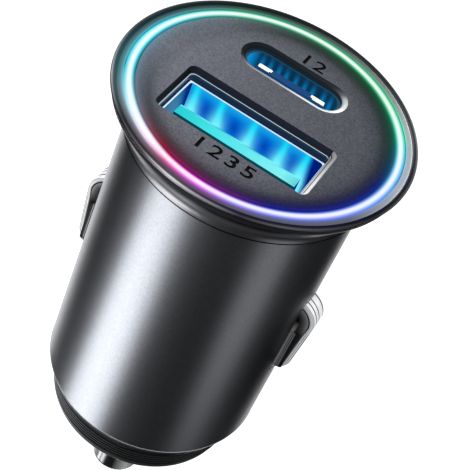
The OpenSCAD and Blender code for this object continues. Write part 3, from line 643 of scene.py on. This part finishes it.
def pad_material():
    """The strip's raised pad: a light outline and fine light lines along it on dark, painted on as
    highlights.
    """
    s = Shader("strip_pad", (0.3, 0.3, 0.3), 0.35, 0.2)
    x, _, z = s.place()
    # Painted highlights: light lines along the pad and a lighter crown
    lines = s.ramp(s.sub(s.size(x), 9.8), [
        (0.42, 0.25), (0.53, 0.45), (0.57, 0.1), (0.64, 0.07), (0.66, 0.34), (0.7, 0.34), (0.72, 0.06),
        (0.8, 0.05), (0.82, 0.3), (0.86, 0.3), (0.89, 0.04), (0.96, 0.015), (1.0, 0.01)])
    crown = s.share(z, -15.25, 1 / 3)
    tone = s.mul(s.larger(lines, s.mul(crown, 0.1)), s.vary(8.0, 0.9, 1.1))
    s.set("Base Color", s.mix(tone, BLACK_TINT, PLATE_TINT))
    s.set("Specular IOR Level", 0.12)
    return s


def nose_material():
    """Dark moulding with painted light and shade: a grey band, black grooves between lighter ribs, and a
    grey collar, all lighter to its left as painted light.
    """
    s = Shader("nose_moulding", (0.02, 0.02, 0.024), 0.42)
    x, y, z = s.place()
    down = s.share(z, NOSE_TOP, -5.0)
    # Painted light and shade by height: the band, the grooves and the collar
    tone = s.ramp(down, [
        (0.0, 0.01), (0.04, 0.01), (0.06, 0.6), (0.14, 0.5), (0.17, 0.01), (0.2, 0.01), (0.22, 0.3),
        (0.27, 0.2), (0.29, 0.004), (0.31, 0.004), (0.72, 0.01), (0.76, 0.2), (0.83, 0.55), (0.95, 0.7),
        (1.0, 0.2)])
    # Painted highlights on the ribs' crests, with black shade between
    wave = s.math("COSINE", s.mul(s.add(z, 32.41), 2 * math.pi / RIB_PITCH))
    ribs = s.mul(s.math("POWER", s.muladd(wave, 0.5, 0.5), 3.0), 0.75)
    among = s.ramp(down, [(0.3, 0.0), (0.33, 1.0), (0.7, 1.0), (0.73, 0.0)])
    tone = s.mul(s.between(among, tone, ribs), s.vary(9.0, 0.85, 1.1))
    # Painted light: lighter towards the left
    left = around(s, x, y, [(-180, 1.0), (-135, 0.85), (-118, 0.45), (-100, 0.16), (-75, 0.05), (0, 0.06),
                            (90, 0.4), (180, 1.0)])
    s.set("Base Color", s.mix(s.mul(tone, left), BLACK_TINT, (0.92, 0.97, 1.06)))
    s.set("Specular IOR Level", 0.07)
    s.relief(16.0, 0.08)
    return s


def tip_material():
    """The tip's plating, with soft upright stripes of painted reflection, light and dark, a painted glow on
    the light ones, and a plain end.
    """
    s = Shader("tip_plate", (0.7, 0.71, 0.73), 0.22, 0.7)
    x, y, z = s.place()
    # Painted reflection stripes by azimuth, with a painted glow
    tone = around(s, x, y, [
        (-180, 0.5), (-168, 0.1), (-158, 0.3), (-148, 0.9), (-130, 0.95), (-122, 0.5), (-116, 0.2),
        (-111, 0.55), (-105, 0.1), (-99, 0.32), (-92, 0.02), (-72, 0.02), (-58, 0.4), (-40, 0.9),
        (-20, 0.6), (-5, 0.15), (20, 0.5), (180, 0.5)])
    end = s.share(z, TIP_LOW + 0.5, -0.4)
    tone = s.mul(s.between(end, tone, 0.55), s.vary(6.0, 0.92, 1.05))
    s.set("Base Color", s.mix(tone, BLACK_TINT, (0.98, 1.0, 1.03)))
    s.set("Emission Color", (1.0, 1.0, 1.0))
    s.set("Emission Strength", s.mul(tone, 0.12))
    s.relief(16.0, 0.03)
    return s


# Lights, cards and floor

TO_CAMERA = Vector((0.191, -0.982, 0))
TO_RIGHT = Vector((0.982, 0.191, 0))
CENTRE = Vector((0, 0, -20)) * MM
FLOOR_HALF = 3.0
FLOOR_Z = -0.2


def aim(azimuth, elevation, distance):
    """Point and turn of something that faces the part, by its direction from it."""
    a, e = math.radians(azimuth), math.radians(elevation)
    way = (TO_CAMERA * math.cos(a) + TO_RIGHT * math.sin(a)) * math.cos(e)
    way = way + Vector((0, 0, math.sin(e)))
    turn = way.to_track_quat("Z", "Y").to_matrix().to_4x4()
    return Matrix.Translation(CENTRE + way * distance) @ turn


def soft_light(name, azimuth, elevation, distance, width, height, radiance):
    """A rectangle of light that faces the part, as bright from any distance."""
    data = bpy.data.lights.new(name, "AREA")
    data.shape = "RECTANGLE"
    data.size = width
    data.size_y = height
    data.energy = radiance * math.pi * width * height
    lamp = bpy.data.objects.new(name, data)
    scene.collection.objects.link(lamp)
    lamp.matrix_world = aim(azimuth, elevation, distance)
    lamp.visible_camera = False


def sheet_mesh(name, points, faces, material):
    mesh = bpy.data.meshes.new(name)
    mesh.from_pydata(points, [], faces)
    made = bpy.data.objects.new(name, mesh)
    scene.collection.objects.link(made)
    made.data.materials.append(material)
    return made


def dark_card(name, azimuths, elevations, distance, level=0.0):
    """A curved card seen only in reflections: it gives the metal its dark bands."""
    mat = bpy.data.materials.new(name)
    mat.use_nodes = True
    mat.node_tree.nodes.clear()
    out = mat.node_tree.nodes.new("ShaderNodeOutputMaterial")
    emit = mat.node_tree.nodes.new("ShaderNodeEmission")
    emit.inputs["Color"].default_value = (level, level, level * 1.05, 1)
    mat.node_tree.links.new(emit.outputs[0], out.inputs["Surface"])
    columns, rows = 24, 8
    points = []
    for i in range(columns + 1):
        for j in range(rows + 1):
            a = azimuths[0] + (azimuths[1] - azimuths[0]) * i / columns
            e = elevations[0] + (elevations[1] - elevations[0]) * j / rows
            points.append(aim(a, e, distance).translation)
    step = rows + 1
    faces = [(i * step + j, i * step + j + 1, (i + 1) * step + j + 1, (i + 1) * step + j)
             for i in range(columns) for j in range(rows)]
    card = sheet_mesh(name, points, faces, mat)
    card.visible_camera = False
    card.visible_diffuse = False
    card.visible_shadow = False
    card.visible_transmission = False


def white_backdrop(tree, base, background):
    """White for camera, glossy and transmission rays, and the given level for the rest."""
    path = tree.nodes.new("ShaderNodeLightPath")
    seen = path.outputs["Is Camera Ray"]
    for name in ("Is Glossy Ray", "Is Transmission Ray"):
        either = tree.nodes.new("ShaderNodeMath")
        either.operation = "MAXIMUM"
        tree.links.new(seen, either.inputs[0])
        tree.links.new(path.outputs[name], either.inputs[1])
        seen = either.outputs[0]
    span = tree.nodes.new("ShaderNodeMath")
    span.operation = "MULTIPLY_ADD"
    tree.links.new(seen, span.inputs[0])
    span.inputs[1].default_value = background - base
    span.inputs[2].default_value = base
    return span.outputs[0]


def make_stage():
    world = bpy.data.worlds.new("world")
    scene.world = world
    world.use_nodes = True
    tree = world.node_tree
    back = tree.nodes["Background"]
    back.inputs["Color"].default_value = (1, 1, 1, 1)
    tree.links.new(white_backdrop(tree, 0.55, 1.0), back.inputs["Strength"])

    mat = bpy.data.materials.new("floor")
    mat.use_nodes = True
    tree = mat.node_tree
    bsdf = tree.nodes["Principled BSDF"]
    bsdf.inputs["Base Color"].default_value = (0.8, 0.8, 0.8, 1)
    bsdf.inputs["Roughness"].default_value = 0.9
    bsdf.inputs["Emission Color"].default_value = (1, 1, 1, 1)
    tree.links.new(white_backdrop(tree, 0.0, 0.7), bsdf.inputs["Emission Strength"])
    corners = [(x * FLOOR_HALF, y * FLOOR_HALF, FLOOR_Z) for x, y in ((-1, -1), (1, -1), (1, 1), (-1, 1))]
    floor = sheet_mesh("floor", corners, [(0, 1, 2, 3)], mat)

    scene.view_settings.view_transform = "Standard"
    soft_light("key_left", -48, -45, 0.16, 0.08, 0.18, 3.4)
    soft_light("edge_left", -158, -45, 0.15, 0.1, 0.2, 1.75)
    soft_light("strip_right", 60, -38, 0.165, 0.115, 0.26, 0.6)
    soft_light("edge_right", 167, -45, 0.15, 0.09, 0.2, 1.4)
    soft_light("box_back_left", -148, 40, 0.3, 0.2, 0.2, 1.6)
    soft_light("top_fill", -30, 60, 0.4, 0.3, 0.3, 1.0)
    dark_card("card_low", (-165, 165), (-89, 8), 0.17, 0.0)
    dark_card("card_back_right", (130, 190), (12, 70), 0.35, 0.15)


# Outlines and meshes, in millimetres

def soften(points, size, steps=4, closed=True):
    """Rounds the corners of an outline of (a, b) points."""
    out = []
    count = len(points)
    for i, here in enumerate(points):
        if not closed and i in (0, count - 1):
            out.append(here)
            continue
        b = Vector(here)
        u = Vector(points[i - 1]) - b
        v = Vector(points[(i + 1) % count]) - b
        if u.length == 0 or v.length == 0 or u.angle(v) > math.radians(174):
            out.append(here)
            continue
        reach = min(size / math.tan(u.angle(v) / 2), 0.45 * u.length, 0.45 * v.length)
        start, end = b + u.normalized() * reach, b + v.normalized() * reach
        for k in range(steps + 1):
            t = k / steps
            out.append(tuple(start * (1 - t) ** 2 + b * 2 * t * (1 - t) + end * t * t))
    return out


def arc(cx, cy, r, a0, a1, steps=12):
    return [(cx + r * math.cos(math.radians(a0 + (a1 - a0) * k / steps)),
             cy + r * math.sin(math.radians(a0 + (a1 - a0) * k / steps))) for k in range(steps + 1)]


def rounded_rect(w, h, r, steps=8):
    points = []
    for sx, sy, a in ((1, 1, 0), (-1, 1, 90), (-1, -1, 180), (1, -1, 270)):
        points += arc(sx * (w / 2 - r), sy * (h / 2 - r), r, a, a + 90, steps)
    return points


def lopsided(w, h, r, shift):
    """A rounded rectangle that stands a little to one side."""
    return [(x + shift, y) for x, y in rounded_rect(w, h, r)]


def racetrack(w, h, steps=20):
    flat = (w - h) / 2
    return arc(flat, 0, h / 2, -90, 90, steps) + arc(-flat, 0, h / 2, 90, 270, steps)


class Build:
    """Collects faces with their materials and makes one piece of them."""

    def __init__(self):
        self.bm = bmesh.new()

    def points(self, coords):
        return [self.bm.verts.new(Vector(c)) for c in coords]

    def strip(self, a, b, material=0, closed=True):
        """Faces between two rows of as many points."""
        count = len(a)
        for i in range(count if closed else count - 1):
            j = (i + 1) % count
            self.bm.faces.new((a[i], a[j], b[j], b[i])).material_index = material

    def fill(self, loops, material=0):
        """Fills a flat region whose outline and holes are closed loops."""
        edges = []
        for loop in loops:
            for i, vert in enumerate(loop):
                other = loop[(i + 1) % len(loop)]
                edges.append(self.bm.edges.get((vert, other)) or self.bm.edges.new((vert, other)))
        made = bmesh.ops.triangle_fill(self.bm, use_beauty=True, use_dissolve=False, edges=edges)
        for item in made["geom"]:
            if isinstance(item, bmesh.types.BMFace):
                item.material_index = material

    def stack(self, outline, levels, materials, centre=(0, 0)):
        """Walls through outlines at levels: each level is (z, outline arguments)."""
        rings = []
        for z, args in levels:
            rings.append(self.points([(x + centre[0], y + centre[1], z) for x, y in outline(*args)]))
        for i, material in enumerate(materials):
            self.strip(rings[i], rings[i + 1], material)
        return rings

    def lathe(self, profile, segments=256):
        """Turns a closed outline of (radius, z) points round the axis."""
        rows = []
        for i in range(segments):
            turn = 2 * math.pi * i / segments
            rows.append(self.points([(r * math.cos(turn), r * math.sin(turn), z) for r, z in profile]))
        for i in range(segments):
            self.strip(rows[i - 1], rows[i])

    def done(self, name, body, shaders, nodes=(), sharp=32):
        """Makes the object, rides it on its body and lets it replace the nodes it stands for."""
        bmesh.ops.recalc_face_normals(self.bm, faces=self.bm.faces)
        for vert in self.bm.verts:
            vert.co *= MM
        mesh = bpy.data.meshes.new(name)
        self.bm.to_mesh(mesh)
        self.bm.free()
        mesh.shade_smooth()
        mesh.set_sharp_from_angle(angle=math.radians(sharp))
        made = bpy.data.objects.new(name, mesh)
        scene.collection.objects.link(made)
        for shader in shaders:
            mesh.materials.append(shader.mat)
        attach(made, body)
        if nodes:
            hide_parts(*nodes)
        return made


# Head: the turned collar, the barrel's tube, the lit ring and the face plate

def head_piece():
    foot, flare, low = 10.87, 1.8, 0.3
    outer = [(10.01, 0), (10.81, 0), (foot, 0.06)]
    outer += arc(foot + flare, low, flare, 180, 180 - 35.89, 24)
    outer += [(12.46, 3.08), (12.52, 3.26), (12.49, 3.29), (12.56, 3.47), (12.53, 3.5), (12.60, 3.68),
              (12.57, 3.71)]
    outer += soften([(12.66, 3.76), (12.76, FACE_Z), (12.70, HEAD_TOP), (12.32, HEAD_TOP), (12.24, FACE_Z),
                     (11.75, FACE_Z)], 0.05, 3, False)
    inner = [(11.75, 3.0), (11.0, 3.0), (11.0, 2.3), (10.31, 2.3), (10.31, 1.0), (10.01, 1.0)]
    b = Build()
    b.lathe(outer + inner)
    b.done("head_flare", BODY, [HEAD], ["head_collar"], 20)


def barrel_columns():
    """The barrel's columns of points: each is (place, side, corner, open).

    Those over a slot, on side 1 or -1, are placed by y and cut back by the slot's rounded corner.
    The others, on side 0, are placed by azimuth.
    """
    steps = [-SLOT_HALF + SLOT_CORNER * (1 - math.cos(math.radians(15 * k))) for k in range(7)]
    steps += [-0.8, -0.4, 0.0, 0.4, 0.8] + [-y for y in reversed(steps)]
    first = math.degrees(math.asin(SLOT_HALF / BARREL_R))
    columns = []
    for side, start in ((1, 0), (-1, 180)):
        for y in steps:
            over = max(0.0, abs(y) - (SLOT_HALF - SLOT_CORNER))
            corner = SLOT_CORNER - math.sqrt(max(0.0, SLOT_CORNER ** 2 - over ** 2))
            columns.append((side * y, side, corner, abs(y) < SLOT_HALF - 1e-6))
        for k in range(1, 96):
            turn = math.radians(start + first + (180 - 2 * first) * k / 96)
            columns.append((turn, 0, SLOT_CORNER, False))
    return columns


def barrel_point(place, side, r, z):
    if side:
        return (side * math.sqrt(r * r - place * place), place, z)
    return (r * math.cos(place), r * math.sin(place), z)


def barrel_piece():
    """The barrel's tube with its two slots, on a grid of columns so that it shades evenly."""
    bevel, neck = 0.22, 0.9

    def outer(z):
        return BARREL_R - (BARREL_R - BARREL_LOW_R) * max(0.0, DRAFT_TOP - z) / (DRAFT_TOP - NOSE_TOP)

    b = Build()
    columns = barrel_columns()
    rows = []
    for place, side, corner, _ in columns:
        upper, under, edge = SLOT_TOP - corner, SLOT_LOW + corner, NOSE_TOP + bevel
        profile = [
            (BORE_R, upper), (BORE_R, neck), (HEAD_SEAT_R, neck), (HEAD_SEAT_R, 0.0), (BARREL_R, 0.0),
            (BARREL_R, DRAFT_TOP), (outer(upper), upper), (outer(under), under), (outer(edge), edge),
            (BARREL_LOW_R - bevel, NOSE_TOP), (BORE_R, NOSE_TOP), (BORE_R, under)]
        rows.append(b.points([barrel_point(place, side, r, z) for r, z in profile]))
    in_top, out_top, out_low, in_low = 0, 6, 7, 11
    for i, (_, side, _, is_open) in enumerate(columns):
        a, c = rows[i - 1], rows[i]
        open_here = is_open or columns[i - 1][3]
        for k in range(12):
            if not (open_here and k in (out_top, in_low)):
                m = (k + 1) % 12
                b.bm.faces.new((a[k], c[k], c[m], a[m]))
        if open_here:
            b.bm.faces.new((a[out_top], c[out_top], c[in_top], a[in_top]))
            b.bm.faces.new((a[in_low], c[in_low], c[out_low], a[out_low]))
        if side and not is_open:
            b.bm.faces.new((c[in_top], c[out_top], c[out_low], c[in_low]))
    b.done("barrel_tube", BODY, [BARREL], ["barrel"], 28)


def ring_piece():
    """The ring's dome over its two stepped feet."""
    dome = arc(RING_R, RING_EDGE_Z - 1.2, 1.2813, 69.4, 110.6, 12)
    foot = [(RING_IN, 3.35), (9.9, 3.35), (9.9, 2.35), (10.9, 2.35), (10.9, 3.0), (RING_OUT, 3.0)]
    b = Build()
    b.lathe([(RING_OUT, RING_EDGE_Z)] + dome + [(RING_IN, RING_EDGE_Z)] + foot)
    b.done("lit_ring", BODY, [RING], ["light_ring"])


def numeral_cutter(text, height, x, y, spread):
    """A closed mesh of numerals that stands through the face, for cutting them in."""
    curve = bpy.data.curves.new("numerals_" + text, "FONT")
    curve.body = text
    curve.align_x = "CENTER"
    curve.align_y = "CENTER"
    curve.size = height * 1.5 * MM
    curve.space_character = spread
    curve.offset = 0.028 * MM
    curve.extrude = NUMERAL_DEPTH * MM
    curve.resolution_u = 4
    words = bpy.data.objects.new("numerals", curve)
    scene.collection.objects.link(words)
    words.location = Vector((x, y, FACE_Z)) * MM
    words.scale = (1.25, 1.0, 1.0)
    bpy.context.view_layer.update()
    mesh = bpy.data.meshes.new_from_object(words)
    mesh.transform(words.matrix_world)
    bpy.data.objects.remove(words)
    mesh.materials.append(NUMERAL_HOLLOW.mat)
    made = bpy.data.objects.new("cutter", mesh)
    scene.collection.objects.link(made)
    return made


def engrave(plate, text, x, y, spread):
    cutter = numeral_cutter(text, 1.25, x, y, spread)
    cut = plate.modifiers.new("numerals", "BOOLEAN")
    cut.operation = "DIFFERENCE"
    cut.solver = "EXACT"
    cut.object = cutter
    bpy.context.view_layer.objects.active = plate
    bpy.context.view_layer.update()
    graph = bpy.context.evaluated_depsgraph_get()
    mesh = bpy.data.meshes.new_from_object(plate.evaluated_get(graph))
    plate.modifiers.clear()
    plate.data = mesh
    bpy.data.objects.remove(cutter)


def face_piece():
    """The face plate with its two stepped port cut-outs and plain numerals."""
    edge, seat, seat_z, bevel = 10.75, 9.85, 3.35, 0.05
    b = Build()
    rim = []
    for z, r in ((FACE_Z, edge - bevel), (FACE_Z - bevel, edge), (seat_z, edge), (seat_z, seat),
                 (PORT_BOTTOM, seat)):
        rim.append(b.points([(px, py, z) for px, py in arc(0, 0, r, 0, 360 - 360 / 192, 191)]))
    for i in range(4):
        b.strip(rim[i], rim[i + 1])
    wide = b.stack(lopsided, [
        (FACE_Z, (13.78, 6.32, 0.65, 0.04)), (3.87, (13.7, 6.26, 0.62, 0.03)),
        (3.5, (12.98, 5.74, 0.45, -0.07)), (3.36, (13.0, 5.74, 0.45, -0.06)),
        (3.34, (12.96, 5.62, 0.45, -0.02)), (PORT_BOTTOM, (12.96, 5.62, 0.45, -0.02))],
        [1, 1, 2, 3, 2], (PORT_X, PORT_A_Y))
    oval = b.stack(racetrack, [
        (FACE_Z, (9.92, 3.82)), (3.86, (9.8, 3.7)), (3.73, (9.02, 2.92)), (3.4, (9.0, 2.9)),
        (3.4, (9.04, 3.26)), (PORT_BOTTOM, (9.04, 3.26))],
        [4, 4, 2, 2, 2], (PORT_X, PORT_C_Y))
    b.fill([rim[0], wide[0], oval[0]])
    b.fill([rim[-1], wide[-1], oval[-1]])
    plate = b.done("face_panel", BODY, [FACE, CHAMFER, WALL, STEP, OVAL_BEVEL, NUMERAL_HOLLOW],
                   ["face_plate"], 25)
    engrave(plate, "1235", 0.1, -7.62, 1.25)
    engrave(plate, "12", 0.25, 7.95, 1.1)
    plate.data.set_sharp_from_angle(angle=math.radians(20))
    for face in plate.data.polygons:
        x, y, z = face.center / MM
        sunk = FACE_Z - 0.3 < z < FACE_Z - 0.03
        if sunk and abs(y - PORT_A_Y) > 3.3 and abs(y - PORT_C_Y) > 2.1 and math.hypot(x, y) < 10.5:
            face.material_index = 5


# Ports: the pale bars on the oval port's tongue, with a painted glow

def box(b, lo, hi, material=0, bevel=0.0):
    x0, y0, z0 = lo
    x1, y1, z1 = hi
    size = (x1 - x0, y1 - y0)
    centre = ((x0 + x1) / 2, (y0 + y1) / 2)
    levels = [(z0, (*size, 0.04, 2)), (z1 - bevel, (*size, 0.04, 2))]
    if bevel:
        levels.append((z1, (size[0] - 2 * bevel, size[1] - 2 * bevel, 0.03, 2)))
    rings = b.stack(rounded_rect, levels, [material] * (len(levels) - 1), centre)
    b.fill([rings[0]], material)
    b.fill([rings[-1]], material)


def oval_bars_piece():
    b = Build()
    for x in (-2.68, 2.36):
        box(b, (x - 0.64, 5.09, 2.66), (x + 0.64, 5.43, 3.06), 0, 0.03)
    box(b, (-3.49, 5.08, -3.6), (3.19, 5.22, 2.6), 1)
    b.done("oval_port_bars", BODY, [BAR, STEEL], ["usb_c_midplate"])


# Side contacts: an open channel of thin plate with stepped edges and a raised pad on each flank

# Depth inside the outer edge and half width of the channel, from its web down the flank
CONTACT_STEPS = [
    (0.0, 0.92), (0.02, 1.0), (0.07, 1.06), (0.15, 1.09), (0.34, 1.13), (0.37, 1.11), (0.43, 1.11),
    (0.46, 1.14), (0.76, 1.17), (0.79, 1.15), (0.85, 1.15), (0.88, 1.18), (1.18, 1.22), (1.22, 1.2)]

# Share of the pad's width and distance from the middle, from its foot to its crown
PAD_STEPS = [(1.0, 1.24), (1.0, 1.31), (0.93, 1.35), (0.84, 1.35), (0.8, 1.32), (0.62, 1.32), (0.57, 1.35)]


def contact_loop(depth):
    """The strip's outline at a depth inside its outer edge, from the upper end down."""
    top, low = CONTACT_BEND_TOP, CONTACT_BEND_LOW
    upper = arc(CONTACT_X - top, CONTACT_TOP - top, top - depth, 90, 0, 20)
    lower = arc(CONTACT_X - CONTACT_LEAN - low, CONTACT_LOW + low, low - depth, 0, -90, 20)
    return [(CONTACT_IN, CONTACT_TOP - depth)] + upper + lower + [(CONTACT_IN, CONTACT_LOW + depth)]


def side_contact_piece(name, node, body, turn):
    """One contact at +X or, turned, at -X."""
    b = Build()

    def loop_at(y, outline):
        return b.points([(x * turn, y * turn, z) for x, z in outline])

    flanks = []
    centre_x, centre_z = 10.42, -17.6
    pad = soften(arc(10.45, -15.5, 0.55, 0, 180, 14) + [(9.9, -20.1), (11.0, -19.75)], 0.2, 3)
    for side in (-1, 1):
        loops = [loop_at(side * y, contact_loop(depth)) for depth, y in CONTACT_STEPS]
        for k in range(len(loops) - 1):
            b.strip(loops[k], loops[k + 1], 0, False)
        flanks.append(loops)
        b.fill([loops[-1]])
        rings = []
        for share, y in PAD_STEPS:
            rings.append(loop_at(side * y, [
                (centre_x + (x - centre_x) * share, centre_z + (z - centre_z) * (0.35 + 0.65 * share))
                for x, z in pad]))
        for k in range(len(rings) - 1):
            b.strip(rings[k], rings[k + 1], 1)
        b.fill([rings[-1]], 1)
    b.strip(flanks[0][0], flanks[1][0], 0, False)
    inner = [loop_at(y, contact_loop(CONTACT_SHEET)) for y in (-CONTACT_GAP, CONTACT_GAP)]
    b.strip(inner[0], inner[1], 0, False)
    for loop in inner:
        b.fill([loop])
    rim = [loop[0] for loop in flanks[0]] + [loop[-1] for loop in reversed(flanks[0])]
    rim += [loop[-1] for loop in flanks[1]] + [loop[0] for loop in reversed(flanks[1])]
    b.fill([rim, [inner[0][0], inner[1][0], inner[1][-1], inner[0][-1]]])
    half = 1.3 * turn
    for z, reach in ((CONTACT_TOP, CONTACT_TAB), (CONTACT_LOW, -CONTACT_TAB)):
        foot, end = z - math.copysign(0.1, reach), z + reach
        ends = [b.points([(x * turn, -half, foot), (x * turn, half, foot), (x * turn, half, end),
                          (x * turn, -half, end)]) for x in (8.9, 9.2)]
        b.strip(ends[0], ends[1])
        b.bm.faces.new(ends[0])
        b.bm.faces.new(ends[1])
    b.done(name, body, [STRIP, PAD], [node], 30)


# Nose and tip

def nose_piece():
    """The dark nose under the barrel: a band, a groove, fine ribs and a rounded lower collar."""
    top_r, side_r, fall = 10.02, 8.975, 4.35
    neck, cavity = 9.31, 4.4

    def at(z):
        return top_r + (side_r - top_r) * (NOSE_TOP - z) / fall

    z = NOSE_TOP
    out = [(neck, z), (top_r - 0.04, z), (top_r, z - 0.06)]
    out += soften([(top_r, z - 0.3), (at(z - 1.3), z - 1.3), (at(z - 1.4) - 0.18, z - 1.42)],
                  0.06, 3, False)
    z -= 1.6
    for _ in range(RIB_COUNT):
        out += soften([(at(z) - 0.26, z), (at(z), z - 0.12), (at(z - 0.3), z - 0.3),
                       (at(z - 0.42) - 0.26, z - 0.42)], 0.05, 2, False)
        z -= RIB_PITCH
    out += [(at(z) - 0.1, z - 0.05), (at(z), z - 0.15)]
    out += arc(side_r - 0.55, NOSE_TOP - fall, 0.55, 0, -58, 10)
    out += soften([(5.05, NOSE_LOW + 0.08), (4.9, NOSE_LOW), (2.65, NOSE_LOW), (2.6, NOSE_LOW + 0.1)],
                  0.06, 3, False)
    out += [(2.6, NOSE_SEAT), (cavity, NOSE_SEAT), (cavity, -27.0), (neck, -27.0)]
    b = Build()
    b.lathe(out)
    b.done("nose_shell", BODY, [NOSE], ["nose_cap"], 28)
    # A thin pale ring at the barrel's lower edge, placed as a painted highlight line
    b = Build()
    b.lathe(arc(10.29, NOSE_TOP + 0.25, 0.06, 0, 330, 11), 192)
    b.done("barrel_rim", BODY, [EDGE])


def tip_piece():
    """The hollow tip with its flange inside the nose and a dimple in its end."""
    flange_z, round_r = NOSE_SEAT + 1.0, 0.9
    out = [(1.65, flange_z), (TIP_FLANGE_R, flange_z), (TIP_FLANGE_R, NOSE_SEAT), (TIP_R, NOSE_SEAT),
           (TIP_R, TIP_LOW + round_r)]
    out += arc(TIP_R - round_r, TIP_LOW + round_r, round_r, 0, -62, 12)
    out += [(1.2, -46.98), (0.6, TIP_LOW), (0.02, TIP_LOW), (0.02, -45.4), (1.35, -45.4), (1.65, -45.1)]
    b = Build()
    b.lathe(out)
    b.done("tip_shell", "tip", [TIP], ["tip_contact"], 25)


make_camera()
make_stage()

BARREL = barrel_material()
HEAD = head_material()
FACE = face_material()
RING = ring_material()
CHAMFER = recess_edge_material()
OVAL_BEVEL = oval_edge_material()
WALL = recess_wall_material()
# Painted glow of light on the wide cut-out's step
STEP = lit("recess_step", (0.2, 0.22, 0.24), 0.4, (0.6, 0.72, 0.78), 0.75)
NUMERAL_HOLLOW = engraving_material()
CHROME = plain("bright_plate", (0.72, 0.73, 0.75), 0.12, 1.0, 8.0, 0.05, 0.04)
TIP = tip_material()
STRIP = strip_material()
PAD = pad_material()
NOSE = nose_material()
# Pale metal of the ring placed as a painted highlight line at the barrel's lower edge
EDGE = plain("barrel_rim", (0.8, 0.82, 0.86), 0.25, 0.6, 9.0, 0.05, 0.04)
TONGUE = wide_tongue_material()
# Painted glows: dark blue on the oval port's moulding, pale on its bars
DARK_BLUE = lit("oval_moulding", (0.01, 0.04, 0.12), 0.4, (0.0, 0.045, 0.16), 0.8)
BAR = lit("lit_bar", (0.8, 0.8, 0.6), 0.4, (0.92, 1.0, 0.62), 0.95)
GILT = plain("gilt", (0.85, 0.62, 0.25), 0.3, 1.0, 10.0, 0.1, 0.05)
SHELL_A = wide_shell_material()
SHELL_C = oval_shell_material()
BLACK = plain("black_moulding", (0.02, 0.02, 0.022), 0.5, 0.0, 12.0, 0.3, 0.2)
BOARD = plain("solder_mask", (0.03, 0.16, 0.08), 0.35, 0.0, 6.0, 0.2, 0.1)
WHITE = plain("white_moulding", (0.8, 0.79, 0.75), 0.5, 0.0, 6.0, 0.04, 0.1)
STEEL = plain("drawn_wire", (0.6, 0.6, 0.62), 0.25, 1.0, 10.0, 0.08, 0.05)
CAN = plain("bright_can", (0.75, 0.76, 0.78), 0.3, 1.0, 8.0, 0.06, 0.05)

CAD_FINISH = {
    "head_collar": HEAD, "barrel": BARREL, "face_plate": FACE, "light_ring": RING,
    "lamp_board": BOARD, "usb_a_shell": SHELL_A, "usb_a_insulator": TONGUE,
    "usb_c_shell": SHELL_C, "usb_c_insulator": DARK_BLUE, "usb_c_midplate": BAR,
    "usb_c_upper_contacts": GILT, "usb_c_lower_contacts": GILT, "usb_c_riser": BLACK,
    "main_board": BOARD, "lamp_header": BLACK, "power_inductor": BLACK,
    "input_capacitor": CAN, "output_capacitor": CAN, "converter_chip": BLACK,
    "port_chip": BLACK, "fuse": WHITE, "ground_strap": GILT, "inner_carrier": WHITE,
    "contact_left": CHROME, "contact_right": CHROME, "contact_spring_left": STEEL,
    "contact_spring_right": STEEL, "nose_cap": NOSE, "tip_contact": CHROME,
    "tip_spring": STEEL, "positive_terminal": GILT,
}
for name, node in nodes.items():
    if name.startswith("ring_lamp"):
        finish = RING
    elif name.startswith("usb_a_contact"):
        finish = GILT
    else:
        finish = CAD_FINISH[name]
    node.data.materials.clear()
    node.data.materials.append(finish.mat)

barrel_piece()
head_piece()
ring_piece()
face_piece()
oval_bars_piece()
side_contact_piece("side_strip_right", "contact_right", "right_contact", 1)
side_contact_piece("side_strip_left", "contact_left", "left_contact", -1)
nose_piece()
tip_piece()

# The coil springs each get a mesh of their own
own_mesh(bpy.data.objects["tip_spring"])
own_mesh(bpy.data.objects["contact_spring_right"])
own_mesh(bpy.data.objects["contact_spring_left"])
